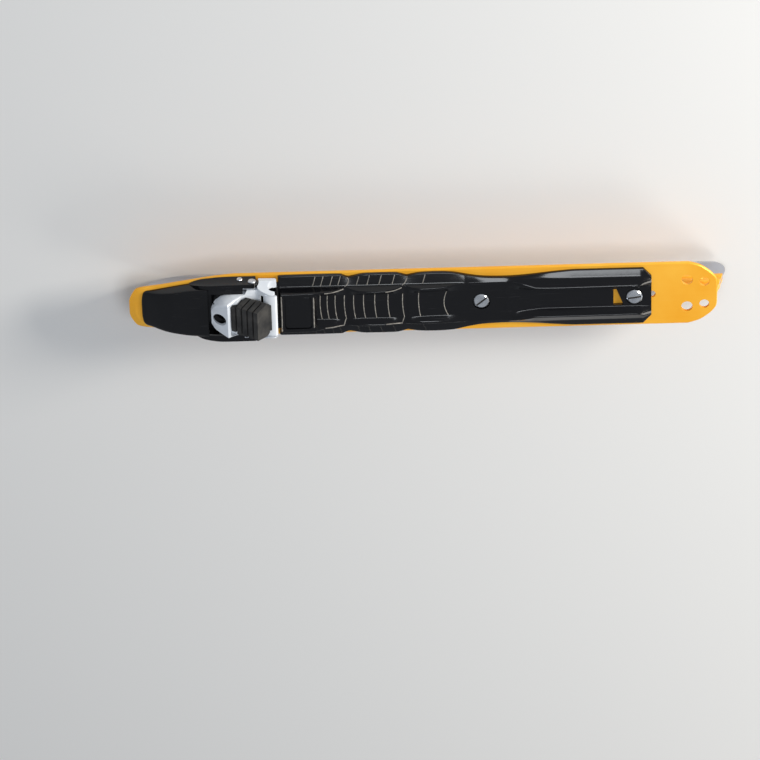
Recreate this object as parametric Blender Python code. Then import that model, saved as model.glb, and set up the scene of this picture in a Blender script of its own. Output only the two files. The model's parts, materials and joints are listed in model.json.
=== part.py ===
"""Nordic touring ice skate: steel blade, aluminium holder, toe binding and boot guide plate.

The toe points to -X, Y is across, and the blade's edge stands on Z = 0. Sizes are in millimetres.
Stations along the skate are measured from the toe end of the holder's top plate, and heights marked
"above the plate" from the plate's top face. Helper functions turn both into metres about the origin.
"""

import math

import bmesh
import bpy
from mathutils import Matrix, Vector

# Clearances
MM = 0.001
GAP = 0.3
OVERLAP = 0.6
ROUND_STEPS = 24
FLAT_ANGLE = math.radians(0.05)

# Holder: top plate
PLATE_LENGTH = 445.0
PLATE_WIDTH = 53.4
PLATE_THICKNESS = 2.6
PLATE_EDGE_BEVEL = 0.6
PLATE_NOSE_BEVEL = 4.6
PLATE_NOSE_BEVEL_DEPTH = 1.3
PLATE_NOSE_BEVEL_END = 16.0
PLATE_NOSE_LENGTH = 80.0
PLATE_TAIL_LENGTH = 22.0

# Holder: centre web
WEB_HEIGHT = 20.1
WEB_WALL = 5.0
WEB_LIP_HEIGHT = 4.1
WEB_LIP_WIDTH = 6.4
WEB_BEAD_CENTRE = 10.7
WEB_BEAD_HEIGHT = 4.6
WEB_BEAD_WIDTH = 8.4
WEB_FRONT_SETBACK = 1.2
WEB_FRONT_LEAN = 5.6
WEB_REAR_LEAN = 5.6

# Holder: holes
SPARE_HOLE_STEP = 13.1
WINDOW_HEIGHT = 6.75
WINDOW_AHEAD = 11.0
WINDOW_BEHIND = 24.6
WINDOW_SKIN = 0.15
LIGHTENING_HOLES = ((22.8, 11.7, 4.3), (9.75, 9.85, 3.75))

# Blade
BLADE_EXPOSED = 22.8
BLADE_THICKNESS = 1.3
BLADE_IN_WEB = 11.7
BLADE_TOE_LENGTH = 43.5
BLADE_TOE_HEIGHT = 32.0
BLADE_HEEL_RADIUS = 12.0
FRONT_RIVETS = (27.0, 84.0)
REAR_RIVETS_FROM_HEEL = (66.0, 11.5)
RIVET_HEIGHT_IN_WEB = 6.3
RIVET_SHANK_RADIUS = 1.6
RIVET_HEAD_RADIUS = 2.05
RIVET_HEAD_HEIGHT = 0.9

# Bolts and nuts
FRONT_BOLT = 69.5
WING_BOLTS = 126.0
MIDDLE_BOLT_SHARE = 0.4917
REAR_BOLT_FROM_HEEL = 62.8
BOLT_RADIUS = 2.8
BOLT_HEAD_RADIUS = 6.0
BOLT_HEAD_HEIGHT = 2.8
FRONT_HEAD_RADIUS = 5.0
WING_BOLT_RADIUS = 2.4
WING_HEAD_RADIUS = 3.9
SLOT_WIDTH = 1.4
SLOT_DEPTH = 1.3
NUT_FLATS = 10.0
NUT_FLANGE_RADIUS = 7.1
NUT_HEIGHT = 6.0
WING_NUT_FLATS = 9.4
WING_NUT_FLANGE_RADIUS = 5.9

# Toe binding: axle, bracket and pins
AXLE_STATION = 93.6
AXLE_HEIGHT = 7.4
AXLE_RADIUS = 2.0
AXLE_HEAD_RADIUS = 3.3
AXLE_HEAD_HEIGHT = 0.9
STOP_PIN_AHEAD = 9.3
STOP_PIN_HEIGHT = 4.1
STOP_PIN_RADIUS = 1.6
STOP_PIN_HEAD_RADIUS = 2.4
BRACKET_SHEET = 1.2
BRACKET_FRONT = 62.0
CHEEK_RADIUS = 4.6

# Toe binding: housing
HOUSING_FRONT = 9.6
HOUSING_FLOOR_TOP = 3.0
HOOD_REAR = 59.8
HOOD_WALL = 2.6
EAR_START = 46.0
EAR_OUTER = 24.8
EAR_WALL = 2.7
EAR_RIDGE_RISE = 1.3
EAR_RIDGE_START = 19.7
EAR_THICK_END_AHEAD = 7.2
EAR_FOOT_FLARE = 0.6
EAR_FOOT_HEIGHT = 1.6
FLOOR_REAR_AHEAD = 10.4

# Toe binding: lever, flexor and spring
LEVER_ARM_WALL = 3.2
LEVER_BASE_HALF_WIDTH = 17.2
LEVER_CORE_HALF_WIDTH = 10.9
CLAW_OUTER = 25.0
LEVER_SHOULDER_RADIUS = 2.4
CLAW_INNER = 18.6
CLAW_SLANT_SPAN = (1.0, 25.0)
CLAW_SLANT_TOP = (19.0, 18.2)
CLAW_SLANT_FOOT = (25.4, 6.0)
JAW_RADIUS = 4.3
JAW_BEHIND_AXLE = 16.0
JAW_HEIGHT = 11.0
BAR_HALF_WIDTH = 17.0
SEAT_TOP = 12.3
SEAT_THICKNESS = 1.8
POCKET_FRONT_AHEAD = 16.9
POCKET_HALF_WIDTH = 15.5
POCKET_LEDGE_TOP = 17.4
SPRING_PAD = 15.2
POLE_HOLE_AHEAD = 25.0
POLE_HOLE_LENGTH = 10.0
POLE_HOLE_WIDTH = 9.4
FLEXOR_LEAN = math.radians(34.0)
FLEXOR_SLABS = 5
FLEXOR_PITCH = 5.15
FLEXOR_SLAB = 3.7
FLEXOR_GROOVE = 2.8
FLEXOR_DEPTH = 15.7
FLEXOR_TOP_HALF_WIDTH = 11.9
FLEXOR_HALF_WIDTH = 14.2
FLEXOR_FOOT_HALF_WIDTH = 12.4
FLEXOR_SHOULDER_DEPTH = 12.3
FLEXOR_FRONT_SHARE = 0.88
FLEXOR_CREST_AHEAD = 16.4
FLEXOR_CREST_HEIGHT = 19.8
SPRING_AHEAD = 15.6
SPRING_RADIUS = 2.9
SPRING_WIRE = 0.5
SPRING_TURNS = 4
SPRING_STEPS = 12
SPRING_FLAT_TURNS = 0.9

# Boot guide plate
GUIDE_FRONT_BEHIND_AXLE = 19.2
GUIDE_FRONT_LEAN = 2.4
GUIDE_REAR_BEHIND_BOLT = 12.8
TONGUE_FRONT_BEHIND_AXLE = 6.2
TONGUE_TOP = 2.4
TONGUE_HALF_WIDTH = 20.0
GUIDE_EDGE_HEIGHT = 3.0
GUIDE_SHELF_HEIGHT = 4.9
GUIDE_HEEL_EDGE_HEIGHT = 2.2
RAIL_FOOT = 17.0
RAIL_OUTER_SLOPE = 0.298
RAIL_RIDGE_WIDTH = 0.9
HEEL_OUTER_SLOPE = 1.45
HEEL_FOOT = 18.6
HEEL_SHELF_HEIGHT = 4.0
GUIDE_END_HEIGHT = 3.5
CHANNEL_HALF_WIDTH = 10.4
CHANNEL_FLOOR = 6.8
WAIST_HEIGHT = 4.4
HEAD_SEAT = 1.5
HEAD_WELL_GAP = 0.7
BLOCK_REAR = 139.2
CHANNEL_START = 142.0
HEEL_CHANNEL_FLOOR = 3.0
HEEL_CHANNEL_HALF_WIDTH = 8.2
COVER_FRONT = 118.0
COVER_REAR = 137.8
COVER_HALF_WIDTH = 13.4
COVER_TOP = 13.9
COVER_THICKNESS = 1.3
COVER_CORNER = 2.5
WELL_FLOOR = 4.0
PEEP_WINDOW = ((-7.0, 15.9, 8.3), (7.0, 15.9, 13.6))

# Heights and lengths that follow
BLADE_HALF = BLADE_THICKNESS / 2
SLOT_HALF = BLADE_HALF + GAP
PLATE_HALF = PLATE_WIDTH / 2
PLATE_BOTTOM = BLADE_EXPOSED + WEB_HEIGHT
PLATE_TOP = PLATE_BOTTOM + PLATE_THICKNESS
WEB_REAR = PLATE_LENGTH + WEB_REAR_LEAN
HEEL_SLOPE = WEB_REAR_LEAN / WEB_HEIGHT
HEEL_NORMAL = math.hypot(1.0, HEEL_SLOPE)
HEEL_CENTRE = (
    WEB_REAR + HEEL_SLOPE * (BLADE_EXPOSED - BLADE_HEEL_RADIUS) - BLADE_HEEL_RADIUS * HEEL_NORMAL
)
OVERALL_LENGTH = max(HEEL_CENTRE + BLADE_HEEL_RADIUS, WEB_REAR)
EAR_INNER = EAR_OUTER - EAR_WALL
CHEEK_OUTER = EAR_INNER - GAP
CHEEK_INNER = CHEEK_OUTER - BRACKET_SHEET
LEVER_ARM_OUTER = CHEEK_INNER - GAP
LEVER_ARM_INNER = LEVER_ARM_OUTER - LEVER_ARM_WALL
EAR_THICK_INNER = LEVER_BASE_HALF_WIDTH + GAP + 0.1
EAR_THICK_END = AXLE_STATION - EAR_THICK_END_AHEAD
BRACKET_TOP = GAP + BRACKET_SHEET
WING_OFFSET = WEB_WALL / 2 + GAP + WING_NUT_FLANGE_RADIUS
BOLT_HOLE_RADIUS = BOLT_RADIUS + GAP
HOOD_ROOF = HOUSING_FLOOR_TOP + 3.6
REAR_BOLT = PLATE_LENGTH - REAR_BOLT_FROM_HEEL
GUIDE_FRONT = AXLE_STATION + GUIDE_FRONT_BEHIND_AXLE
GUIDE_REAR = REAR_BOLT + GUIDE_REAR_BEHIND_BOLT
MIDDLE_BOLT = CHANNEL_START + MIDDLE_BOLT_SHARE * (GUIDE_REAR - CHANNEL_START)
RIVET_STATIONS = FRONT_RIVETS + tuple(PLATE_LENGTH - back for back in REAR_RIVETS_FROM_HEEL)


# Placing and meshing helpers


def at(station, across, above_plate=None, height=None):
    """A point in metres, from a station, a distance across and one of the two kinds of height."""
    level = height if above_plate is None else PLATE_TOP + above_plate
    return Vector((station - OVERALL_LENGTH / 2, across, level)) * MM


def smooth(points, steps=4):
    """Points on a smooth curve through the given ones, with this many steps between neighbours."""
    found = []
    last = len(points) - 1
    for i in range(last):
        around = [points[min(max(i + k, 0), last)] for k in (-1, 0, 1, 2)]
        for step in range(steps):
            u = step / steps
            weights = (
                (2 * u**2 - u - u**3) / 2,
                (2 - 5 * u**2 + 3 * u**3) / 2,
                (u + 4 * u**2 - 3 * u**3) / 2,
                (u**3 - u**2) / 2,
            )
            found.append(tuple(
                sum(weight * value for weight, value in zip(weights, values)) for values in zip(*around)
            ))
    return found + [points[last]]


def between(curve, place):
    """The value of a list of (place, value) pairs at a place, by straight lines."""
    if place <= curve[0][0]:
        return curve[0][1]
    for (low, first), (high, second) in zip(curve, curve[1:]):
        if place <= high:
            return first + (second - first) * (place - low) / (high - low)
    return curve[-1][1]


def arc(centre, radius, start_deg, end_deg, steps):
    """Points of an arc in a plane, both ends included."""
    angles = (math.radians(start_deg + (end_deg - start_deg) * i / steps) for i in range(steps + 1))
    return [(centre[0] + radius * math.cos(a), centre[1] + radius * math.sin(a)) for a in angles]


def tidied(mesh):
    """The same mesh with its flat areas as single faces, all facing outwards."""
    bmesh.ops.dissolve_limit(mesh, angle_limit=FLAT_ANGLE, verts=mesh.verts, edges=mesh.edges)
    bmesh.ops.recalc_face_normals(mesh, faces=mesh.faces)
    return mesh


def loft(sections):
    """A closed solid: the first section's outline, extruded to each of the others in turn."""
    mesh = bmesh.new()
    ring = [mesh.verts.new(point) for point in sections[0]]
    edges = [mesh.edges.new((ring[i - 1], ring[i])) for i in range(len(ring))]
    mesh.faces.new(ring)
    for section in sections[1:]:
        grown = bmesh.ops.extrude_edge_only(mesh, edges=edges)["geom"]
        edges = [part for part in grown if isinstance(part, bmesh.types.BMEdge)]
        fresh = {part for part in grown if isinstance(part, bmesh.types.BMVert)}
        ring = [
            next(edge.other_vert(v) for edge in v.link_edges if edge.other_vert(v) in fresh) for v in ring
        ]
        for v, point in zip(ring, section):
            v.co = point
    mesh.faces.new(ring)
    return tidied(mesh)


def side_prism(outline, low, high):
    """A side outline of (station, height above the plate), extruded across from low to high."""
    return loft([[at(s, y, z) for s, z in outline] for y in (low, high)])


def plan_prism(outline, low, high):
    """A plan outline of (station, across), extruded between two heights above the plate."""
    return loft([[at(s, y, z) for s, y in outline] for z in (low, high)])


def box(front, rear, half_width, low, high):
    """A block on the centre line, between two heights above the plate."""
    outline = ((front, -half_width), (rear, -half_width), (rear, half_width), (front, half_width))
    return plan_prism(outline, low, high)


def turned(profile, centre, axis="Z", steps=ROUND_STEPS):
    """A solid of revolution from (radius, along) pairs whose first and last radius is 0."""
    mesh = bmesh.new()
    line = [mesh.verts.new((radius * MM, 0, along * MM)) for radius, along in profile]
    edges = [mesh.edges.new(pair) for pair in zip(line, line[1:])]
    bmesh.ops.spin(
        mesh, geom=line + edges, cent=(0, 0, 0), axis=(0, 0, 1), angle=math.tau, steps=steps, use_merge=True
    )
    bmesh.ops.remove_doubles(mesh, verts=mesh.verts, dist=1e-7)
    if axis == "Y":
        bmesh.ops.rotate(mesh, verts=mesh.verts, matrix=Matrix.Rotation(math.radians(-90), 3, "X"))
    bmesh.ops.translate(mesh, verts=mesh.verts, vec=centre)
    return tidied(mesh)


def rod(radius, low, high):
    """The profile of a plain round rod between two places along its axis."""
    return ((0, low), (radius, low), (radius, high), (0, high))


def hole(station, across, radius, low, high):
    """A round cutter along Z between two heights above the plate."""
    return turned(rod(radius, low, high), at(station, across, 0))


def stepped_hole(station, across, radius, wide_radius, low, step, high):
    """A round cutter that widens at a height above the plate."""
    profile = (
        (0, low),
        (radius, low),
        (radius, step),
        (wide_radius, step),
        (wide_radius, high),
        (0, high),
    )
    return turned(profile, at(station, across, 0))


def joined(meshes):
    """Several meshes as one, which stay separate shells."""
    whole = bmesh.new()
    for mesh in meshes:
        part = bpy.data.meshes.new("part")
        mesh.to_mesh(part)
        mesh.free()
        whole.from_mesh(part)
        bpy.data.meshes.remove(part)
    return whole


def both_sides(mesh):
    """The mesh and its mirror image across the centre line."""
    twin = mesh.copy()
    bmesh.ops.mirror(twin, geom=twin.verts[:] + twin.edges[:] + twin.faces[:], axis="Y", merge_dist=-1)
    half = len(twin.verts) // 2
    bmesh.ops.delete(twin, geom=twin.verts[:half], context="VERTS")
    bmesh.ops.recalc_face_normals(twin, faces=twin.faces)
    return joined([mesh, twin])


def material(name, colour, roughness, metallic=0.0):
    """A plain material of one colour."""
    made = bpy.data.materials.new(name)
    made.use_nodes = True
    shader = made.node_tree.nodes["Principled BSDF"]
    shader.inputs["Base Color"].default_value = (*colour, 1.0)
    shader.inputs["Roughness"].default_value = roughness
    shader.inputs["Metallic"].default_value = metallic
    return made


def add(name, mesh, finish, origin=None, carrier=None):
    """A named part, with its object's origin at the given point."""
    origin = origin or Vector()
    bmesh.ops.translate(mesh, verts=mesh.verts, vec=-origin)
    data = bpy.data.meshes.new(name)
    mesh.to_mesh(data)
    mesh.free()
    if finish:
        data.materials.append(finish)
    made = bpy.data.objects.new(name, data)
    made.location = origin
    if carrier:
        made.parent = carrier
        made.location = origin - carrier.location
    bpy.context.scene.collection.objects.link(made)
    return made


def change(target, operation, mesh):
    """A Boolean on a part, with a hidden helper object as its other shape."""
    number = len(target.modifiers) + 1
    helper = add(f"{target.name}_{operation.lower()}_{number}", mesh, None)
    helper.hide_render = True
    helper.display_type = "WIRE"
    step = target.modifiers.new(f"{operation.lower()}_{number}", "BOOLEAN")
    step.operation = operation
    step.solver = "EXACT"
    step.object = helper


# Holder


def plate_half_outline():
    """Half-widths of the top plate at stations from toe to heel, as (station, half-width)."""
    nose = (
        (0.0, 21.2),
        (0.011, 18.2),
        (0.03, 15.2),
        (0.061, 11.5),
        (0.1, 10.0),
        (0.155, 9.2),
        (0.304, 7.8),
        (0.45, 5.9),
        (0.575, 4.4),
        (0.69, 2.9),
        (0.80, 1.6),
        (0.90, 0.7),
        (1.0, 0.0),
    )
    tail = ((1.0, 0.0), (0.68, 2.1), (0.46, 4.7), (0.21, 9.2), (0.064, 13.2), (0.018, 15.8), (0.0, 18.5))
    toe = [(share * PLATE_NOSE_LENGTH, PLATE_HALF - cut) for share, cut in nose]
    heel = [(PLATE_LENGTH - share * PLATE_TAIL_LENGTH, PLATE_HALF - cut) for share, cut in tail]
    return smooth(toe, 2) + smooth(heel, 2)


def plate_outline(bevel_share):
    """The plate's closed plan outline, drawn in by a share of its bevel, with the bevel's depth."""
    half = plate_half_outline()
    closed = [(s, -w) for s, w in half] + [(s, w) for s, w in reversed(half)]
    start = PLATE_NOSE_BEVEL
    widths = ((start, PLATE_NOSE_BEVEL), (PLATE_NOSE_BEVEL_END, PLATE_EDGE_BEVEL))
    depths = ((start, PLATE_NOSE_BEVEL_DEPTH), (PLATE_NOSE_BEVEL_END, PLATE_EDGE_BEVEL))
    found = []
    for i, (station, across) in enumerate(closed):
        before, after = closed[i - 1], closed[(i + 1) % len(closed)]
        along = Vector((after[0] - before[0], after[1] - before[1])).normalized()
        width = between(widths, station)
        found.append((
            station - bevel_share * width * along.y,
            across + bevel_share * width * along.x,
            between(depths, station),
        ))
    return found


def make_plate():
    outer = plate_outline(0.0)
    inner = plate_outline(1.0)
    return loft((
        [at(s, y, -PLATE_THICKNESS) for s, y, _ in outer],
        [at(s, y, -depth) for s, y, depth in outer],
        [at(s, y, 0.0) for s, y, _ in inner],
    ))


def web_front(height):
    """Station of the web's slanted toe end at a height over the web's bottom."""
    return WEB_FRONT_SETBACK + WEB_FRONT_LEAN * (1 - height / WEB_HEIGHT)


def web_rear(height):
    return PLATE_LENGTH + WEB_REAR_LEAN * (1 - height / WEB_HEIGHT)


def make_web():
    """The web: bottom lip, flat band for the rivets, bead, groove and upper wall."""
    wall = WEB_WALL / 2
    lip = WEB_LIP_WIDTH / 2
    bead = WEB_BEAD_WIDTH / 2
    groove = wall - 0.4
    bead_low = WEB_BEAD_CENTRE - WEB_BEAD_HEIGHT / 2
    bead_high = WEB_BEAD_CENTRE + WEB_BEAD_HEIGHT / 2
    half = [
        (0.0, lip - 0.4),
        (0.4, lip),
        (WEB_LIP_HEIGHT - 0.5, lip),
        (WEB_LIP_HEIGHT, wall),
        (bead_low, wall),
        (bead_low + 0.7, bead - 0.6),
        (WEB_BEAD_CENTRE, bead),
        (bead_high - 0.7, bead - 0.6),
        (bead_high, wall),
        (bead_high + 0.4, groove),
        (bead_high + 1.2, groove),
        (bead_high + 1.6, wall),
        (WEB_HEIGHT + OVERLAP, wall),
    ]
    closed = [(h, w) for h, w in half] + [(h, -w) for h, w in reversed(half)]
    ends = (web_front, web_rear)
    return loft([[at(end(h), w, height=BLADE_EXPOSED + h) for h, w in closed] for end in ends])


def window(bolt_station):
    """A round-ended cutter through the web, from just inside the plate's underside."""
    top = -PLATE_THICKNESS + WINDOW_SKIN
    radius = WINDOW_HEIGHT / 2
    middle = top - radius
    front = bolt_station - WINDOW_AHEAD + radius
    rear = bolt_station + WINDOW_BEHIND - radius
    outline = arc((rear, middle), radius, -90, 90, 8) + arc((front, middle), radius, 90, 270, 8)
    half = WEB_WALL / 2 + 0.2
    return side_prism(outline, -half, half)


def make_holder():
    holder = add("holder_profile", make_plate(), ORANGE)
    change(holder, "UNION", make_web())
    through = (-PLATE_THICKNESS - OVERLAP, OVERLAP)
    cutters = [window(station) for station in (FRONT_BOLT, MIDDLE_BOLT, REAR_BOLT)]
    change(holder, "DIFFERENCE", joined(cutters))
    holes = [(station, 0.0) for station in (FRONT_BOLT, MIDDLE_BOLT, REAR_BOLT)]
    holes += [(station + SPARE_HOLE_STEP, 0.0) for station, _ in holes]
    holes += [(WING_BOLTS, side * WING_OFFSET) for side in (-1, 1)]
    cutters = [hole(station, across, BOLT_HOLE_RADIUS, *through) for station, across in holes]
    for from_heel, across, radius in LIGHTENING_HOLES:
        for side in (-1, 1):
            cutters.append(hole(PLATE_LENGTH - from_heel, side * across, radius, *through))
    change(holder, "DIFFERENCE", joined(cutters))
    slot_top = BLADE_EXPOSED + BLADE_IN_WEB + GAP - PLATE_TOP
    slot = box(-10, OVERALL_LENGTH + 10, SLOT_HALF, -PLATE_TOP, slot_top)
    change(holder, "DIFFERENCE", slot)
    bores = []
    reach = WEB_BEAD_WIDTH
    for station in RIVET_STATIONS:
        centre = at(station, 0, height=BLADE_EXPOSED + RIVET_HEIGHT_IN_WEB)
        bores.append(turned(rod(RIVET_SHANK_RADIUS + GAP, -reach, reach), centre, "Y", 12))
    change(holder, "DIFFERENCE", joined(bores))


# Blade and rivets


def make_blade():
    top = BLADE_EXPOSED + BLADE_IN_WEB
    toe_centre = web_front(0) - 0.5 + BLADE_TOE_LENGTH * math.sqrt(
        1 - ((BLADE_TOE_HEIGHT - BLADE_EXPOSED) / BLADE_TOE_HEIGHT) ** 2
    )
    start = math.degrees(math.asin((BLADE_TOE_HEIGHT - BLADE_EXPOSED) / BLADE_TOE_HEIGHT))
    toe = [
        (toe_centre - BLADE_TOE_LENGTH * x, BLADE_TOE_HEIGHT * (1 - z))
        for x, z in arc((0, 0), 1.0, start, 90, 16)
    ]
    lean = math.degrees(math.atan(HEEL_SLOPE))
    heel = arc((HEEL_CENTRE, BLADE_HEEL_RADIUS), BLADE_HEEL_RADIUS, -90, lean, 12)
    outline = [(web_front(BLADE_IN_WEB), top)] + toe + heel
    outline += [(web_rear(0), BLADE_EXPOSED), (web_rear(BLADE_IN_WEB), top)]
    above_plate = [(s, z - PLATE_TOP) for s, z in outline]
    blade = add("steel_blade", side_prism(above_plate, -BLADE_HALF, BLADE_HALF), STEEL)
    reach = BLADE_THICKNESS
    bores = []
    for station in RIVET_STATIONS:
        centre = at(station, 0, height=BLADE_EXPOSED + RIVET_HEIGHT_IN_WEB)
        bores.append(turned(rod(RIVET_SHANK_RADIUS + GAP, -reach, reach), centre, "Y", 12))
    change(blade, "DIFFERENCE", joined(bores))


def make_rivets():
    seat = WEB_WALL / 2 + GAP
    crown = seat + RIVET_HEAD_HEIGHT
    half = (
        (RIVET_SHANK_RADIUS, seat),
        (RIVET_HEAD_RADIUS, seat),
        (RIVET_HEAD_RADIUS * 0.8, crown - 0.2),
        (0, crown),
    )
    profile = [(r, -a) for r, a in reversed(half)] + list(half)
    for number, station in enumerate(RIVET_STATIONS, 1):
        centre = at(station, 0, height=BLADE_EXPOSED + RIVET_HEIGHT_IN_WEB)
        add(f"blade_rivet_{number}", turned(profile, Vector(), "Y", 12), ORANGE_RIVET).location = centre


# Bolts and nuts


def make_bolt(
    name, station, across, seat, slot_deg, radius=BOLT_RADIUS, head_radius=BOLT_HEAD_RADIUS
):
    """A slotted pan head bolt whose head's underside is at a height above the plate."""
    top = seat + BOLT_HEAD_HEIGHT
    tip = -PLATE_THICKNESS - GAP - NUT_HEIGHT + GAP
    profile = (
        (0, tip),
        (radius - 0.5, tip),
        (radius, tip + 0.5),
        (radius, seat),
        (head_radius, seat),
        (head_radius, top - 1.0),
        (head_radius - 1.0, top - 0.15),
        (0, top),
    )
    bolt = add(name, turned(profile, at(station, across, 0)), ZINC)
    reach = head_radius * 2
    slot = box(station - reach, station + reach, SLOT_WIDTH / 2, top - SLOT_DEPTH, top + 1)
    place = at(station, across, 0)
    bmesh.ops.translate(slot, verts=slot.verts, vec=at(0, across, 0) - at(0, 0, 0))
    turn = Matrix.Rotation(math.radians(slot_deg), 3, "Z")
    bmesh.ops.rotate(slot, verts=slot.verts, cent=place, matrix=turn)
    change(bolt, "DIFFERENCE", slot)


def make_nut(
    name, station, across, radius=BOLT_RADIUS, across_flats=NUT_FLATS, flange_radius=NUT_FLANGE_RADIUS
):
    """A flanged hex nut, its flange under the plate."""
    top = -PLATE_THICKNESS - GAP
    bottom = top - NUT_HEIGHT
    flats = across_flats / 2
    corner = flats / math.cos(math.radians(30))
    flange = (
        (0, top),
        (flange_radius, top),
        (flange_radius, top - 1.1),
        (flats - 0.5, top - 2.4),
        (0, top - 2.4),
    )
    nut = add(name, turned(flange, at(station, across, 0)), ZINC)
    hexagon = arc((station, across), corner, 0, 300, 5)
    change(nut, "UNION", plan_prism(hexagon, bottom, top - OVERLAP))
    change(nut, "DIFFERENCE", hole(station, across, radius + GAP, bottom - 1, top + 1))


# Toe binding


def make_housing():
    """Hood, two ears and floor. The hood is crowned, with a shoulder above each upright side."""
    hood = smooth((
        (HOUSING_FRONT, 1.1, 0.9, 7.0),
        (HOUSING_FRONT + 1.0, 1.7, 1.2, 12.2),
        (HOUSING_FRONT + 3.2, 2.7, 1.9, 14.6),
        (HOUSING_FRONT + 7.4, 5.3, 3.8, 15.4),
        (HOUSING_FRONT + 14.4, 9.0, 7.3, 16.6),
        (HOUSING_FRONT + 20.4, 10.8, 9.1, 17.7),
        (HOUSING_FRONT + 26.4, 11.7, 10.0, 18.7),
        (HOUSING_FRONT + 36.4, 12.2, 10.6, 20.2),
        (HOOD_REAR, 12.9, 11.3, 20.9),
    ), 2)
    sections = []
    for station, top, shoulder, half_width in hood:
        half = (
            (0.6 * half_width, top),
            (half_width - 2.0, top - 0.3 * (top - shoulder)),
            (half_width - 0.4, shoulder),
            (half_width + 0.2, GAP),
        )
        ring = [at(station, -y, z) for y, z in half]
        ring += [at(station, y, z) for y, z in reversed(half)]
        sections.append(ring)
    housing = add("binding_housing", loft(sections), BLACK)
    floor_rear = AXLE_STATION - FLOOR_REAR_AHEAD
    floor_half = EAR_THICK_INNER + OVERLAP
    floor = box(HOOD_REAR - OVERLAP, floor_rear, floor_half, BRACKET_TOP + GAP, HOUSING_FLOOR_TOP)
    change(housing, "UNION", both_sides(make_ear()))
    change(housing, "UNION", floor)
    inside = HOOD_REAR - HOOD_WALL
    core = [(HOUSING_FRONT + 13, -12.0), (inside, -15.5), (inside, 15.5), (HOUSING_FRONT + 13, 12.0)]
    change(housing, "DIFFERENCE", plan_prism(core, GAP - 1, HOOD_ROOF))
    across = EAR_OUTER * 2
    pin = at(AXLE_STATION - STOP_PIN_AHEAD, 0, STOP_PIN_HEIGHT)
    bores = [
        turned(rod(AXLE_RADIUS + GAP, -across, across), at(AXLE_STATION, 0, AXLE_HEIGHT), "Y"),
        turned(rod(STOP_PIN_RADIUS + GAP, -across, across), pin, "Y", 16),
        hole(FRONT_BOLT, 0, BOLT_HOLE_RADIUS, 0, HOUSING_FLOOR_TOP + OVERLAP),
    ]
    change(housing, "DIFFERENCE", joined(bores))


def make_ear():
    """One ear: it grows out of the hood's side, is thick beside the lever, and ends round at the axle."""
    top = smooth((
        (EAR_START, 1.9),
        (49.0, 5.2),
        (53.0, 8.2),
        (57.0, 10.0),
        (62.0, 11.3),
        (68.0, 12.0),
        (AXLE_STATION - 14.0, 12.1),
        (EAR_THICK_END, AXLE_HEIGHT + CHEEK_RADIUS),
    ), 2)
    outer = ((EAR_START, 20.2), (50.0, 22.0), (55.5, 23.4), (62.0, 24.1), (72.0, EAR_OUTER))
    fused = 14.0
    step = 0.01
    inside_hood = HOOD_REAR - GAP
    sections = [(s, fused, 0.0, GAP, z) for s, z in top if s < inside_hood]
    level = between(top, inside_hood)
    sections.append((inside_hood, fused, 0.0, GAP, level))
    sections.append((inside_hood + step, EAR_THICK_INNER, EAR_RIDGE_RISE, GAP, level))
    sections += [(s, EAR_THICK_INNER, EAR_RIDGE_RISE, GAP, z) for s, z in top if s > inside_hood + step]
    sections.append((EAR_THICK_END + step, EAR_INNER, 0.0, GAP, top[-1][1]))
    for degrees in (90, 70, 50, 30, 15, 5):
        angle = math.radians(degrees)
        rise = CHEEK_RADIUS * math.sin(angle)
        low = AXLE_HEIGHT - rise if degrees <= 50 else GAP
        station = AXLE_STATION + CHEEK_RADIUS * math.cos(angle)
        sections.append((station, EAR_INNER, 0.0, low, AXLE_HEIGHT + rise))
    rings = []
    for station, inner, ridge, low, high in sections:
        outside = between(outer, station)
        foot = max(low, EAR_FOOT_HEIGHT) if low == GAP else low + 0.2
        flare = EAR_FOOT_FLARE if low == GAP else 0.0
        flat_end = EAR_RIDGE_START if inner < EAR_RIDGE_START else inner + 1.0
        corners = (
            (inner, low),
            (outside + flare, low),
            (outside, foot),
            (outside, high),
            (flat_end, high),
            (inner, high + ridge),
        )
        rings.append([at(station, y, z) for y, z in corners])
    return loft(rings)


def make_bracket():
    """A U of steel sheet: a base under the housing's floor, and two cheeks inside the ears' ends."""
    front = EAR_THICK_END + GAP
    rear = AXLE_STATION + CHEEK_RADIUS - 0.9
    narrow = EAR_THICK_INNER - GAP
    half = [(BRACKET_FRONT, narrow), (front, narrow), (front, CHEEK_OUTER), (rear, CHEEK_OUTER)]
    base = [(s, -y) for s, y in half] + [(s, y) for s, y in reversed(half)]
    bracket = add("pivot_bracket", plan_prism(base, GAP, BRACKET_TOP), STEEL)
    top = AXLE_HEIGHT + CHEEK_RADIUS
    outline = [(rear, GAP), (front, GAP), (front, top)]
    outline += reversed(arc((AXLE_STATION, AXLE_HEIGHT), CHEEK_RADIUS, -35, 90, 12))
    change(bracket, "UNION", both_sides(side_prism(outline, CHEEK_INNER, CHEEK_OUTER)))
    across = CHEEK_OUTER + 1
    bores = [
        turned(rod(AXLE_RADIUS + GAP, -across, across), at(AXLE_STATION, 0, AXLE_HEIGHT), "Y"),
        hole(FRONT_BOLT, 0, BOLT_HOLE_RADIUS, -1, BRACKET_TOP + 1),
    ]
    change(bracket, "DIFFERENCE", joined(bores))


def make_pin(name, station, height, radius, head_radius, head_height):
    """A pin through both ears, with a low domed head on each side."""
    seat = EAR_OUTER + GAP
    crown = seat + head_height
    half = (
        (radius, seat),
        (head_radius, seat),
        (head_radius * 0.85, crown - 0.15),
        (0, crown),
    )
    profile = [(r, -a) for r, a in reversed(half)] + list(half)
    add(name, turned(profile, at(station, 0, height), "Y", 16), STEEL)


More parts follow.
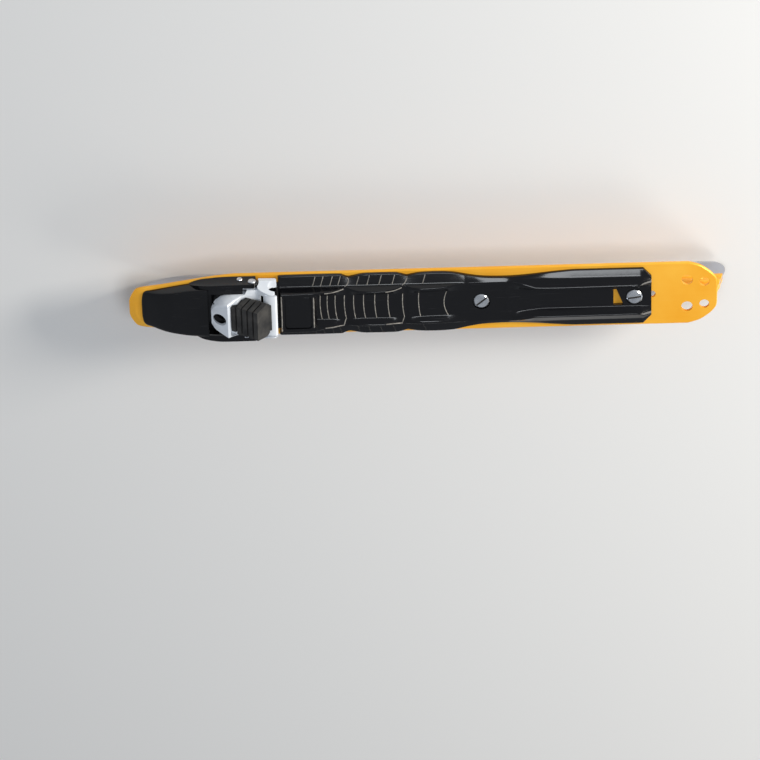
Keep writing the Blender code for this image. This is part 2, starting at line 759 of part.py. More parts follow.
def lever_side():
    """The lever's side outline from the press plate to its axle boss, relative to the axle's station."""
    boss = arc((0, AXLE_HEIGHT), 4.2, -60, -160, 6)
    return [
        (-31.6, 13.6),
        (-31.2, 16.0),
        (-18.8, 25.1),
        (-17.0, 24.7),
        (-14.0, 20.6),
        (-11.0, 16.9),
        (-8.7, 14.9),
        (-6.0, 13.7),
        (-3.0, 13.1),
        (2.0, 12.8),
        (4.6, 12.2),
        (6.4, 10.8),
        (6.2, AXLE_HEIGHT),
    ] + boss + [(-9.0, 8.8), (-14.0, 10.0), (-26.0, 12.4)]


def lever_block():
    """Sections that narrow upwards to a round shoulder: half-widths at the base and at the top."""
    base, crown = 13.0, 27.0
    widths = (
        (-32.0, 4.6, 3.8, 15.8),
        (-31.0, 7.8, 5.8, 16.6),
        (-29.5, 11.0, 7.8, 17.8),
        (-28.0, 13.2, 9.2, 18.8),
        (-24.0, 15.8, 11.6, 21.5),
        (-18.8, 17.0, 14.2, 25.1),
        (-13.8, LEVER_BASE_HALF_WIDTH, 15.4, 19.6),
        (-8.7, LEVER_BASE_HALF_WIDTH, 16.4, 14.9),
        (-5.6, LEVER_BASE_HALF_WIDTH, 16.9, 14.0),
        (-4.0, LEVER_ARM_OUTER, LEVER_ARM_OUTER, 14.0),
        (9.0, LEVER_ARM_OUTER, LEVER_ARM_OUTER, 14.0),
    )
    rings = []
    for ahead, low, high, top in widths:
        radius = min(LEVER_SHOULDER_RADIUS, 0.6 * (top - base))
        edge = high + (low - high) * radius / (top - base)
        shoulder = arc((edge - radius, top - radius), radius, 0, 72, 3)
        half = [(low, 0.0), (low, base), *shoulder, (edge - radius, crown)]
        corners = [(-y, z) for y, z in half] + [(y, z) for y, z in reversed(half)]
        rings.append([at(AXLE_STATION + ahead, y, z) for y, z in corners])
    return loft(rings)


def claw_side():
    """One claw's outline, relative to the axle's station: the jaw opens to the rear."""
    jaw = arc((JAW_BEHIND_AXLE, JAW_HEIGHT), JAW_RADIUS, 116, 254, 12)
    hub = arc((0, AXLE_HEIGHT), CHEEK_RADIUS + GAP + 0.3, -27, 42, 6)
    hook = [(4.4, 13.0), (6.6, 14.8), (10.0, 16.8), (13.4, 18.2), (15.8, 18.0), (17.1, 16.9), (16.9, 15.6)]
    lip = [(16.8, 6.6), (18.3, 6.2), (18.2, 4.6), (16.8, 3.5)]
    return [(4.9, 3.0)] + hub + hook + jaw + lip


def shifted(outline, station=AXLE_STATION):
    return [(s + station, other) for s, other in outline]


def make_lever(carrier):
    """Press plate, seat, arms, claws and rear bar in one piece."""
    lever = add("jaw_lever", lever_block(), WHITE, carrier.location.copy(), carrier)
    wide = CLAW_OUTER + 10
    change(lever, "INTERSECT", side_prism(shifted(lever_side()), -wide, wide))
    seat_bottom = SEAT_TOP - SEAT_THICKNESS
    rear = 12.0
    hollow = [
        (-29.6, 0.0),
        (-29.6, 14.6),
        (-19.9, 21.2),
        (-19.9, SPRING_PAD),
        (-11.7, SPRING_PAD),
        (-8.6, seat_bottom),
        (rear, seat_bottom),
        (rear, 0.0),
    ]
    core = LEVER_CORE_HALF_WIDTH
    change(lever, "DIFFERENCE", side_prism(shifted(hollow), -core, core))
    front = AXLE_STATION - 11.5
    change(lever, "DIFFERENCE", box(front, AXLE_STATION + rear, LEVER_ARM_INNER, 0.0, seat_bottom))
    pocket = []
    for ahead, half_width, floor in (
        (-POCKET_FRONT_AHEAD, 12.7, POCKET_LEDGE_TOP),
        (-15.0, 13.9, POCKET_LEDGE_TOP),
        (-11.6, 15.0, POCKET_LEDGE_TOP),
        (-8.4, POCKET_HALF_WIDTH, SEAT_TOP),
        (rear, POCKET_HALF_WIDTH, SEAT_TOP),
    ):
        corners = ((-half_width, floor), (half_width, floor), (half_width, 40.0), (-half_width, 40.0))
        pocket.append([at(AXLE_STATION + ahead, y, z) for y, z in corners])
    change(lever, "DIFFERENCE", loft(pocket))
    change(lever, "UNION", both_sides(side_prism(shifted(claw_side()), CLAW_INNER, CLAW_OUTER)))
    reach = CLAW_OUTER * 2
    lid = 40.0
    slanted = (CLAW_SLANT_TOP, CLAW_SLANT_FOOT)
    across = (*slanted, (reach, CLAW_SLANT_FOOT[1]), (reach, lid), (CLAW_SLANT_TOP[0], lid))
    for side in (-1, 1):
        slant = []
        for behind in CLAW_SLANT_SPAN:
            slant.append([at(AXLE_STATION + behind, side * y, z) for y, z in across])
        change(lever, "DIFFERENCE", loft(slant))
    shoulder = [(3.6, 12.1), (5.1, 5.4), (10.9, 6.6), (11.3, 15.2), (9.4, 16.1), (5.4, 13.2)]
    inside = BAR_HALF_WIDTH - OVERLAP
    change(lever, "UNION", both_sides(side_prism(shifted(shoulder), inside, CLAW_INNER + OVERLAP)))
    bar = [(8.4, 15.4), (10.0, 16.6), (13.9, 18.1), (17.2, 17.8), (18.6, 16.7), (18.0, 15.5), (11.4, 14.2)]
    change(lever, "UNION", side_prism(shifted(bar), -BAR_HALF_WIDTH, BAR_HALF_WIDTH))
    centre = AXLE_STATION - POLE_HOLE_AHEAD
    pole_hole = [
        (centre + POLE_HOLE_LENGTH / 2 * math.cos(a), POLE_HOLE_WIDTH / 2 * math.sin(a))
        for a in (math.tau * i / 20 for i in range(20))
    ]
    axle = turned(rod(AXLE_RADIUS + GAP, -wide, wide), at(AXLE_STATION, 0, AXLE_HEIGHT), "Y")
    change(lever, "DIFFERENCE", joined([plan_prism(pole_hole, 10.0, 30.0), axle]))


def make_flexor(carrier):
    """A stack of rubber slabs that leans back, joined by a smaller neck, on a foot with a lip."""
    along = Vector((math.cos(FLEXOR_LEAN), 0, math.sin(FLEXOR_LEAN)))
    down = Vector((math.sin(FLEXOR_LEAN), 0, -math.cos(FLEXOR_LEAN)))
    corner = at(AXLE_STATION - FLEXOR_CREST_AHEAD, 0, FLEXOR_CREST_HEIGHT)
    outline = (
        (0.0, FLEXOR_TOP_HALF_WIDTH),
        (FLEXOR_SHOULDER_DEPTH, FLEXOR_HALF_WIDTH),
        (FLEXOR_DEPTH, FLEXOR_FOOT_HALF_WIDTH),
    )

    def ring(distance, inset, share):
        half = []
        for depth, width in outline:
            drop = min(max(depth, inset), FLEXOR_DEPTH - inset)
            half.append((drop, width * share - inset))
        points = [(d, -w) for d, w in half] + [(d, w) for d, w in reversed(half)]
        across = Vector((0, 1, 0))
        return [corner + (along * distance + down * d + across * w) * MM for d, w in points]

    rings = []
    for slab in range(FLEXOR_SLABS):
        start = slab * FLEXOR_PITCH
        share = FLEXOR_FRONT_SHARE if slab == 0 else 1.0
        rings += [ring(start, 0, share), ring(start + FLEXOR_SLAB, 0, share)]
        if slab < FLEXOR_SLABS - 1:
            rings.append(ring(start + FLEXOR_SLAB, FLEXOR_GROOVE, share))
            rings.append(ring(start + FLEXOR_PITCH, FLEXOR_GROOVE, 1.0))
    flexor = add("flexor", loft(rings), RUBBER, carrier.location.copy(), carrier)
    foot = [
        (-5.0, 11.0),
        (5.2, 11.0),
        (7.4, 15.7),
        (9.2, 17.2),
        (13.6, 18.9),
        (14.2, 20.2),
        (12.2, 20.9),
        (9.0, 20.4),
        (-5.0, 18.4),
    ]
    change(flexor, "UNION", side_prism(shifted(foot), -10.8, 10.8))
    floor = [
        (-24.0, 5.0),
        (-24.0, POCKET_LEDGE_TOP + GAP),
        (-11.4, POCKET_LEDGE_TOP + GAP),
        (-8.2, SEAT_TOP + GAP),
        (20.0, SEAT_TOP + GAP),
        (20.0, 5.0),
    ]
    change(flexor, "DIFFERENCE", side_prism(shifted(floor), -30.0, 30.0))


def make_spring():
    """The return spring: a round wire swept along a helix whose end turns lie flat."""
    low = HOUSING_FLOOR_TOP + GAP + SPRING_WIRE
    high = SPRING_PAD - GAP - SPRING_WIRE
    flat_lift = SPRING_WIRE * 2.7
    steep_turns = SPRING_TURNS - 2 * SPRING_FLAT_TURNS
    rise = high - low - 2 * SPRING_FLAT_TURNS * flat_lift
    sections = []
    for i in range(SPRING_TURNS * SPRING_STEPS + 1):
        turns = i / SPRING_STEPS
        steep = min(max(turns - SPRING_FLAT_TURNS, 0.0), steep_turns)
        height = low + flat_lift * (turns - steep) + rise * steep / steep_turns
        angle = math.tau * turns
        ring = [
            at(
                AXLE_STATION - SPRING_AHEAD + (SPRING_RADIUS + out) * math.cos(angle),
                (SPRING_RADIUS + out) * math.sin(angle),
                height + up,
            )
            for out, up in arc((0, 0), SPRING_WIRE, 0, 300, 5)
        ]
        sections.append(ring)
    add("return_spring", loft(sections), STEEL)


# Boot guide plate


def along_guide(share):
    """A station on the guide plate, from a share of its length behind the front block."""
    return CHANNEL_START + share * (GUIDE_REAR - CHANNEL_START)


def guide_crest():
    """Height of the two rails above the plate, with its three scallops, the waist and the heel rails."""
    behind = (
        (0.016, 12.6),
        (0.047, 11.0),
        (0.068, 8.6),
        (0.089, 6.5),
        (0.107, 8.7),
        (0.130, 10.4),
        (0.162, 11.1),
        (0.198, 10.8),
        (0.229, 9.3),
        (0.263, 6.2),
        (0.281, 8.0),
        (0.308, 9.2),
        (0.348, 9.0),
        (0.387, 7.9),
        (0.427, 5.8),
        (0.458, WAIST_HEIGHT),
        (0.506, WAIST_HEIGHT),
        (0.561, WAIST_HEIGHT),
        (0.589, 5.4),
        (0.621, 7.2),
        (0.656, 8.5),
        (0.704, 9.0),
        (0.822, 8.8),
        (0.964, 8.3),
    )
    block = ((GUIDE_FRONT, 15.2), (GUIDE_FRONT + 9.0, 15.0), (BLOCK_REAR, 14.3))
    rails = tuple((along_guide(share), height) for share, height in behind)
    return smooth(block + rails, 2) + [(GUIDE_REAR, GUIDE_END_HEIGHT)]


def guide_ridge():
    """Half-width to the rails' inner top edges, which swing outwards at each scallop."""
    behind = (
        (0.0, 15.0),
        (0.047, 15.2),
        (0.069, 15.4),
        (0.082, 15.9),
        (0.089, 16.0),
        (0.099, 15.2),
        (0.107, 14.3),
        (0.126, 13.5),
        (0.170, 13.9),
        (0.225, 14.3),
        (0.245, 15.0),
        (0.261, 16.0),
        (0.273, 15.0),
        (0.285, 14.1),
        (0.308, 13.6),
        (0.356, 13.9),
        (0.391, 14.6),
        (0.427, 15.8),
        (0.455, 16.0),
        (0.569, 16.0),
        (0.589, 15.0),
        (0.609, 13.3),
        (0.640, 12.3),
        (0.672, 12.0),
        (1.0, 12.0),
    )
    return [(along_guide(share), half_width) for share, half_width in behind]


def guide_outline():
    """Half-width of the guide plate, with its waist under the boot's arch."""
    behind = (
        (0.058, 25.8),
        (0.078, 25.0),
        (0.094, 23.6),
        (0.107, 24.0),
        (0.130, 25.3),
        (0.155, 25.8),
        (0.229, 25.8),
        (0.251, 25.0),
        (0.269, 23.6),
        (0.282, 24.1),
        (0.308, 25.2),
        (0.356, 25.6),
        (0.407, 24.9),
        (0.451, 22.5),
        (0.490, 20.8),
        (0.534, 20.1),
        (0.585, 20.1),
        (0.644, 21.2),
        (0.704, 22.8),
        (0.763, 24.0),
        (0.802, 24.1),
        (0.976, 24.1),
    )
    block = ((GUIDE_FRONT, 25.0), (GUIDE_FRONT + 4.0, 25.8))
    rails = tuple((along_guide(share), half_width) for share, half_width in behind)
    return smooth(block + rails, 3) + [(GUIDE_REAR, 17.2)]


def guide_section(station, crest, half_width):
    """One cross-section: channel floor, rail, shelf and outer edge, as half points (across, height)."""
    heel = between(((along_guide(0.569), 0.0), (along_guide(0.672), 1.0)), station)
    waist = ((along_guide(0.265), CHANNEL_FLOOR), (along_guide(0.451), WAIST_HEIGHT))
    step = 0.06
    shelf = GUIDE_SHELF_HEIGHT + (HEEL_SHELF_HEIGHT - GUIDE_SHELF_HEIGHT) * heel
    shelf = min(shelf, crest - step)
    foot = min(RAIL_FOOT + (HEEL_FOOT - RAIL_FOOT) * heel, half_width - 2.0)
    leaning = between(((BLOCK_REAR, 0.0), (along_guide(0.07), 1.0)), station)
    outer_slope = RAIL_OUTER_SLOPE * leaning + (HEEL_OUTER_SLOPE - RAIL_OUTER_SLOPE) * heel
    floor = between(waist, station)
    floor = min(floor + (HEEL_CHANNEL_FLOOR - floor) * heel, crest - step)
    if station < CHANNEL_START:
        floor = crest - step
    floor_half = CHANNEL_HALF_WIDTH + (HEEL_CHANNEL_HALF_WIDTH - CHANNEL_HALF_WIDTH) * heel
    ridge = max(foot - 0.1 - outer_slope * (crest - shelf), floor_half + 2 * RAIL_RIDGE_WIDTH)
    inner = min(between(guide_ridge(), station), foot - 0.1 - RAIL_RIDGE_WIDTH)
    if station < CHANNEL_START:
        inner = floor_half + 0.1
    outer = max(ridge, inner + RAIL_RIDGE_WIDTH)
    edge = GUIDE_EDGE_HEIGHT + (GUIDE_HEEL_EDGE_HEIGHT - GUIDE_EDGE_HEIGHT) * heel
    return (
        (floor_half, floor),
        (inner, crest),
        (outer, crest),
        (foot, shelf),
        (half_width, edge),
        (half_width, GAP),
    )


def guide_stations():
    """Stations of the sections: closer together where the crest or the outline bends."""
    found = {s for s, _ in guide_crest() if not BLOCK_REAR < s < CHANNEL_START}
    found.add(CHANNEL_START)
    found.update(along_guide(share) for share in (0.407, 0.490, 0.534, 0.763, 0.976))
    return sorted(found)


def make_guide():
    crest = guide_crest()
    outline = guide_outline()
    rings = []
    for station in guide_stations():
        half = guide_section(station, between(crest, station), between(outline, station))
        lean = GUIDE_FRONT_LEAN / crest[0][1] if station == GUIDE_FRONT else 0.0
        ring = [at(station + lean * z, -y, z) for y, z in half]
        ring += [at(station + lean * z, y, z) for y, z in reversed(half)]
        rings.append(ring)
    guide = add("guide_plate", loft(rings), BLACK)
    tongue_front = AXLE_STATION + TONGUE_FRONT_BEHIND_AXLE
    tongue = box(tongue_front, GUIDE_FRONT + 1.5, TONGUE_HALF_WIDTH, GAP, TONGUE_TOP)
    change(guide, "UNION", tongue)
    recess_floor = COVER_TOP - COVER_THICKNESS - GAP
    change(guide, "DIFFERENCE", plan_prism(cover_outline(GAP), recess_floor, COVER_TOP + 10))
    wells = []
    for side in (-1, 1):
        radii = (WING_BOLT_RADIUS + GAP, WING_HEAD_RADIUS + GAP)
        wells.append(stepped_hole(WING_BOLTS, side * WING_OFFSET, *radii, -1.0, WELL_FLOOR, COVER_TOP))
    for station in (MIDDLE_BOLT, REAR_BOLT):
        radii = (BOLT_HOLE_RADIUS, BOLT_HEAD_RADIUS + HEAD_WELL_GAP)
        wells.append(stepped_hole(station, 0, *radii, -1.0, HEAD_SEAT, 12.0))
    peep = [(REAR_BOLT - front, across) for across, front, _ in PEEP_WINDOW]
    peep += [(REAR_BOLT - rear, across) for across, _, rear in reversed(PEEP_WINDOW)]
    wells.append(plan_prism(peep, -1.0, 10.0))
    change(guide, "DIFFERENCE", joined(wells))


def cover_outline(margin=0.0):
    """The cover's plan outline with round corners, grown by a margin."""
    front, rear = COVER_FRONT - margin, COVER_REAR + margin
    half = COVER_HALF_WIDTH + margin
    r = COVER_CORNER
    return (
        arc((front + r, -half + r), r, 180, 270, 4)
        + arc((rear - r, -half + r), r, 270, 360, 4)
        + arc((rear - r, half - r), r, 0, 90, 4)
        + arc((front + r, half - r), r, 90, 180, 4)
    )


def make_cover():
    add("screw_cover", plan_prism(cover_outline(), COVER_TOP - COVER_THICKNESS, COVER_TOP), BLACK)


# Build

for old in list(bpy.data.objects):
    bpy.data.objects.remove(old)

ORANGE = material("orange_anodised", (0.90, 0.36, 0.03), 0.35, 0.6)
ORANGE_RIVET = material("orange_rivet", (0.85, 0.38, 0.06), 0.4, 0.6)
STEEL = material("blade_steel", (0.55, 0.57, 0.62), 0.3, 1.0)
ZINC = material("zinc_plate", (0.70, 0.72, 0.75), 0.3, 1.0)
BLACK = material("black_gloss_plastic", (0.015, 0.015, 0.018), 0.15)
WHITE = material("white_plastic", (0.85, 0.87, 0.90), 0.35)
RUBBER = material("black_rubber", (0.04, 0.04, 0.042), 0.8)

make_holder()
make_blade()
make_rivets()
make_housing()
make_bracket()
make_pin(
    "lever_axle", AXLE_STATION, AXLE_HEIGHT, AXLE_RADIUS, AXLE_HEAD_RADIUS, AXLE_HEAD_HEIGHT
)
make_pin(
    "stop_pin",
    AXLE_STATION - STOP_PIN_AHEAD,
    STOP_PIN_HEIGHT,
    STOP_PIN_RADIUS,
    STOP_PIN_HEAD_RADIUS,
    AXLE_HEAD_HEIGHT,
)
pivot = bpy.data.objects.new("lever_pivot", None)
pivot.location = at(AXLE_STATION, 0, AXLE_HEIGHT)
bpy.context.scene.collection.objects.link(pivot)
make_lever(pivot)
make_flexor(pivot)
make_spring()
make_guide()
make_cover()
make_bolt("front_bolt", FRONT_BOLT, 0, HOUSING_FLOOR_TOP + GAP, 20, BOLT_RADIUS, FRONT_HEAD_RADIUS)
make_bolt("middle_bolt", MIDDLE_BOLT, 0, HEAD_SEAT + GAP, 40)
make_bolt("rear_bolt", REAR_BOLT, 0, HEAD_SEAT + GAP, 8)
make_nut("front_nut", FRONT_BOLT, 0)
make_nut("middle_nut", MIDDLE_BOLT, 0)
make_nut("rear_nut", REAR_BOLT, 0)
for side, turn, word in ((-1, 70, "left"), (1, 15, "right")):
    make_bolt(
        f"wing_bolt_{word}",
        WING_BOLTS,
        side * WING_OFFSET,
        WELL_FLOOR + GAP,
        turn,
        WING_BOLT_RADIUS,
        WING_HEAD_RADIUS,
    )
    make_nut(
        f"wing_nut_{word}",
        WING_BOLTS,
        side * WING_OFFSET,
        WING_BOLT_RADIUS,
        WING_NUT_FLATS,
        WING_NUT_FLANGE_RADIUS,
    )
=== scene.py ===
"""Looks for the touring skate: finer pieces, finishes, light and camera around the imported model.

Stations are millimetres from the toe end of the holder's top plate, and heights are millimetres
above that plate's top face.
"""

import json
import math

import bmesh
import bpy
from mathutils import Matrix, Vector


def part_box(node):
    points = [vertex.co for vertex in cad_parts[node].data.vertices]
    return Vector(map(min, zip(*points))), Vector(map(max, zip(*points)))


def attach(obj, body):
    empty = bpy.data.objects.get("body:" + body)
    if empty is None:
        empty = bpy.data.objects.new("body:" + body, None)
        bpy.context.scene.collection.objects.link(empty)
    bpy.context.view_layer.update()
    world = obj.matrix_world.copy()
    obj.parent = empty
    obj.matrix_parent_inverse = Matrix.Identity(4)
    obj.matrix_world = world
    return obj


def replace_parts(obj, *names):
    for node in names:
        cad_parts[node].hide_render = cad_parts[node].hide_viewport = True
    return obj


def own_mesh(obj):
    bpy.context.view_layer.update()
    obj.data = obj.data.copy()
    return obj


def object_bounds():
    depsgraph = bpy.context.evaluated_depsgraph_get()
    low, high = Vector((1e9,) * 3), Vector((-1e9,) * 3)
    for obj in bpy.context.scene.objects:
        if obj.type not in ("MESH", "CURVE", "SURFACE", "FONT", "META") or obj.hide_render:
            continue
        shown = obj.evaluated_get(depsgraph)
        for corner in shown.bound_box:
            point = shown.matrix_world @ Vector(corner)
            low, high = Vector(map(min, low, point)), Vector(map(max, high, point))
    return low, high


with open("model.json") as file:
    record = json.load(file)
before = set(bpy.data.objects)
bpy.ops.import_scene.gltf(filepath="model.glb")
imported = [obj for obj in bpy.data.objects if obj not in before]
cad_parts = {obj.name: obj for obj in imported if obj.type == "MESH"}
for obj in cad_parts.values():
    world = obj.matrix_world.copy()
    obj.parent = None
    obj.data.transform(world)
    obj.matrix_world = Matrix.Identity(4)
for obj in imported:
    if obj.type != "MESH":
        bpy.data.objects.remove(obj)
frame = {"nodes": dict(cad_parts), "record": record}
cad_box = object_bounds()

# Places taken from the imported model
MM = 0.001
LENGTH = (cad_box[1][0] - cad_box[0][0]) / MM
PLATE_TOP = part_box("holder_profile")[1].z / MM
AXLE_STATION = 93.6
AXLE_HEIGHT = 7.4
GAP = 0.3
GROUND_BEVEL = 2.2
CYLINDER_STEPS = 48
BORE_STEPS = 24
WIRE_STEPS = 10


def at(station, across, above_plate):
    """A point in metres from a station, a distance across and a height above the plate."""
    return Vector((station - LENGTH / 2, across, PLATE_TOP + above_plate)) * MM


# Finishes


class Signal:
    """An output of a shader node that sums and products can be written with."""

    def __init__(self, finish, source):
        self.finish = finish
        self.source = source

    def sum_with(self, operation, other, swapped=False):
        pair = (other, self) if swapped else (self, other)
        return self.finish.node("ShaderNodeMath", {"operation": operation}, dict(enumerate(pair)))

    def __add__(self, other):
        return self.sum_with("ADD", other)

    __radd__ = __add__

    def __sub__(self, other):
        return self.sum_with("SUBTRACT", other)

    def __rsub__(self, other):
        return self.sum_with("SUBTRACT", other, True)

    def __mul__(self, other):
        return self.sum_with("MULTIPLY", other)

    __rmul__ = __mul__

    def clamped(self, low, high):
        """The part of this signal between low and high, spread over 0 to 1."""
        return self.finish.node(
            "ShaderNodeMapRange", {"clamp": True}, {"Value": self, "From Min": low, "From Max": high}
        )


class Finish:
    """A material under construction."""

    def __init__(self, name, **constants):
        self.material = bpy.data.materials.new(name)
        self.material.use_nodes = True
        self.tree = self.material.node_tree
        self.shader = self.tree.nodes["Principled BSDF"]
        self.place = self.node("ShaderNodeTexCoord", output="Object")
        for socket, value in constants.items():
            self.set(socket.replace("_", " "), value)

    def node(self, kind, settings=None, values=None, output=0):
        """Adds a node: its settings come first, then what its sockets hold, and one output is returned."""
        made = self.tree.nodes.new(kind)
        for key, value in (settings or {}).items():
            setattr(made, key, value)
        for key, value in (values or {}).items():
            self.feed(made.inputs[key], value)
        return Signal(self, made.outputs[output])

    def feed(self, socket, value):
        """Gives a socket a link from a signal, or a constant."""
        if isinstance(value, Signal):
            self.tree.links.new(value.source, socket)
        elif socket.type == "RGBA" and len(value) == 3:
            socket.default_value = (*value, 1.0)
        else:
            socket.default_value = value

    def set(self, socket, value):
        """Feeds one of the shader's own sockets."""
        self.feed(self.shader.inputs[socket], value)

    def stretched(self, x, y, z):
        """Object coordinates with a scale of their own along each axis."""
        return self.node("ShaderNodeMapping", None, {"Vector": self.place, "Scale": (x, y, z)})

    def noise(self, scale, detail=3.0, roughness=0.55, along=None, distortion=0.0):
        """A soft noise from 0 to 1, over the object coordinates or along others."""
        values = {
            "Vector": along or self.place,
            "Scale": scale,
            "Detail": detail,
            "Roughness": roughness,
            "Distortion": distortion,
        }
        return self.node("ShaderNodeTexNoise", None, values)

    def axis(self, name):
        """One of the object coordinates, in metres."""
        return self.node("ShaderNodeSeparateXYZ", None, {"Vector": self.place}, name)

    def blend(self, share, first, second):
        """A colour between two, by a share from 0 to 1."""
        settings = {"data_type": "RGBA"}
        values = {0: share, 6: first, 7: second}
        return self.node("ShaderNodeMix", settings, values, 2)

    def bump(self, height, strength, distance):
        """Raises the surface by a signal, through the normal."""
        values = {"Height": height, "Strength": strength, "Distance": distance}
        self.set("Normal", self.node("ShaderNodeBump", None, values))


def scratches(finish, scale, turn, low, high):
    """Thin, long marks in one direction, as a signal that is 1 on a mark."""
    along = finish.node(
        "ShaderNodeMapping",
        None,
        {"Vector": finish.place, "Rotation": (0.0, 0.0, turn), "Scale": (0.02, 1.0, 1.0)},
    )
    return finish.noise(scale, 2.0, 0.5, along, 0.2).clamped(low, high)


def anodised(name, base, light):
    """Anodised extrusion: fine draw lines along X, a soft mottle and a few rubbed marks."""
    made = Finish(name, Metallic=0.3, Specular_IOR_Level=0.5)
    lines = made.noise(1.0, 5.0, 0.7, made.stretched(6.0, 2200.0, 2200.0))
    mottle = made.noise(28.0, 3.0)
    rubbed = scratches(made, 900.0, 0.5, 0.70, 0.78)
    tone = (mottle * 0.7 + lines * 0.3).clamped(0.3, 0.7)
    body = made.blend(tone, base, light)
    made.set("Base Color", made.blend(rubbed * 0.25, body, (0.95, 0.72, 0.42)))
    made.set("Roughness", 0.3 + lines * 0.12 + mottle * 0.06)
    made.bump(lines + rubbed * 0.3, 0.12, 0.0001)
    return made.material


def ground_steel(name):
    """Blade steel: grinding lines along X, bright near the running edge."""
    made = Finish(name, Metallic=1.0)
    lines = made.noise(1.0, 6.0, 0.75, made.stretched(9.0, 1800.0, 2600.0))
    clouds = made.noise(18.0, 3.0)
    edge = (GROUND_BEVEL * MM - made.axis("Z")).clamped(-0.2 * MM, 0.2 * MM)
    scuffs = scratches(made, 700.0, -0.3, 0.68, 0.78)
    tone = (clouds * 0.6 + lines * 0.4).clamped(0.3, 0.7)
    body = made.blend(tone, (0.46, 0.49, 0.55), (0.58, 0.60, 0.66))
    made.set("Base Color", made.blend(edge * 0.7 + scuffs * 0.15, body, (0.78, 0.80, 0.84)))
    made.set("Roughness", 0.34 + lines * 0.14 - edge * 0.14 + scuffs * 0.08)
    made.bump(lines, 0.1, 0.00008)
    return made.material


def bare_metal(name, dark, light, rough):
    """Turned or pressed metal with a fine grain, such as zinc plate or bright steel."""
    made = Finish(name, Metallic=1.0)
    grain = made.noise(900.0, 4.0)
    clouds = made.noise(160.0, 2.0)
    made.set("Base Color", made.blend(clouds.clamped(0.35, 0.65), dark, light))
    made.set("Roughness", rough + grain * 0.12)
    made.bump(grain, 0.15, 0.00005)
    return made.material


def gloss_plastic(name, base, haze, rough):
    """Moulded gloss plastic: a faint ripple, hairline marks and a little dust in the open."""
    made = Finish(name, Specular_IOR_Level=0.36)
    ripple = made.noise(210.0, 2.0)
    hair = scratches(made, 1300.0, 0.2, 0.66, 0.74) + scratches(made, 1100.0, -0.9, 0.69, 0.76)
    dust = made.noise(2600.0, 2.0).clamped(0.66, 0.74) * made.noise(60.0, 3.0).clamped(0.45, 0.75)
    made.set("Base Color", made.blend(dust * 0.35 + hair * 0.08, base, haze))
    made.set("Roughness", rough + dust * 0.35 + hair * 0.12 + ripple * 0.05)
    made.bump(ripple + hair * 0.1, 0.08, 0.0003)
    return made.material


def white_moulding(name):
    """The lever's plastic: pale and half gloss, a little greyer where it is handled."""
    made = Finish(name, Specular_IOR_Level=0.5)
    clouds = made.noise(45.0, 4.0)
    grain = made.noise(1500.0, 3.0)
    marks = scratches(made, 900.0, 0.7, 0.69, 0.78)
    body = made.blend(clouds.clamped(0.3, 0.75), (0.70, 0.74, 0.80), (0.80, 0.83, 0.87))
    made.set("Base Color", made.blend(marks * 0.3, body, (0.45, 0.47, 0.50)))
    made.set("Roughness", 0.3 + grain * 0.1 + marks * 0.2)
    made.bump(grain + clouds * 0.4, 0.08, 0.0001)
    return made.material


def moulded_rubber(name):
    """Matt black rubber with a fine skin and a dusty bloom."""
    made = Finish(name, Specular_IOR_Level=0.4)
    skin = made.noise(1400.0, 4.0)
    bloom = made.noise(90.0, 4.0).clamped(0.35, 0.75)
    made.set("Base Color", made.blend(bloom, (0.014, 0.014, 0.015), (0.060, 0.057, 0.053)))
    made.set("Roughness", 0.62 + skin * 0.2)
    made.bump(skin, 0.35, 0.0001)
    return made.material


def highlight_edge_finish(name):
    """The same black plastic painted pale, as a painted highlight on ridges that face the light."""
    made = Finish(name, Specular_IOR_Level=0.6)
    highlight_patches = made.noise(420.0, 3.0).clamped(0.3, 0.7)
    made.set("Base Color", made.blend(highlight_patches, (0.10, 0.092, 0.084), (0.30, 0.28, 0.25)))
    made.set("Roughness", 0.42 - highlight_patches * 0.12)
    return made.material


def slot_shade_finish(name):
    """Painted shade for a screw slot: dull and dark, with a fine grit."""
    made = Finish(name, Specular_IOR_Level=0.2)
    grit = made.noise(1800.0, 4.0)
    tone = grit.clamped(0.3, 0.7)
    made.set("Base Color", made.blend(tone, (0.010, 0.009, 0.008), (0.045, 0.042, 0.038)))
    made.set("Roughness", 0.75 + grit * 0.2)
    made.bump(grit, 0.4, 0.0001)
    return made.material


BLACK = (0.004, 0.004, 0.005)
BLACK_HAZE = (0.10, 0.10, 0.11)
FINISHES = {
    "orange_anodised": anodised("orange_anodised_lines", (0.95, 0.42, 0.02), (1.0, 0.52, 0.05)),
    "orange_rivet": anodised("orange_rivet_domes", (0.95, 0.44, 0.05), (1.0, 0.56, 0.12)),
    "blade_steel": ground_steel("blade_steel_ground"),
    "zinc_plate": bare_metal("zinc_plate_fine", (0.60, 0.62, 0.66), (0.78, 0.80, 0.83), 0.22),
    "black_gloss_plastic": gloss_plastic("black_gloss_moulding", BLACK, BLACK_HAZE, 0.12),
    "white_plastic": white_moulding("white_lever_moulding"),
    "black_rubber": moulded_rubber("black_flexor_rubber"),
}
PRESSED_STEEL = bare_metal("bright_pressed_steel", (0.55, 0.57, 0.60), (0.72, 0.74, 0.78), 0.25)
# A dark finish painted into the screw slots as their shade.
PAINTED_SLOT_SHADE = slot_shade_finish("packed_slot_dirt")
# Black plastic painted pale as a highlight, for the ridges on the lit side.
PAINTED_HIGHLIGHT_EDGES = highlight_edge_finish("black_moulding_painted_highlight")
SLOTS = {part["node"]: part["material_slot"] for part in frame["record"]["subparts"]}
BODIES = frame["record"]["behaviour"]["bodies"]
BODY_OF = {node: body for body, nodes in BODIES.items() for node in nodes}

# Making pieces

MERGE_DISTANCE = 2e-6
CARVED_MERGE_DISTANCE = 1e-6
FLAT_WITHIN_DEG = 0.4
EDGE_STEPS = 3


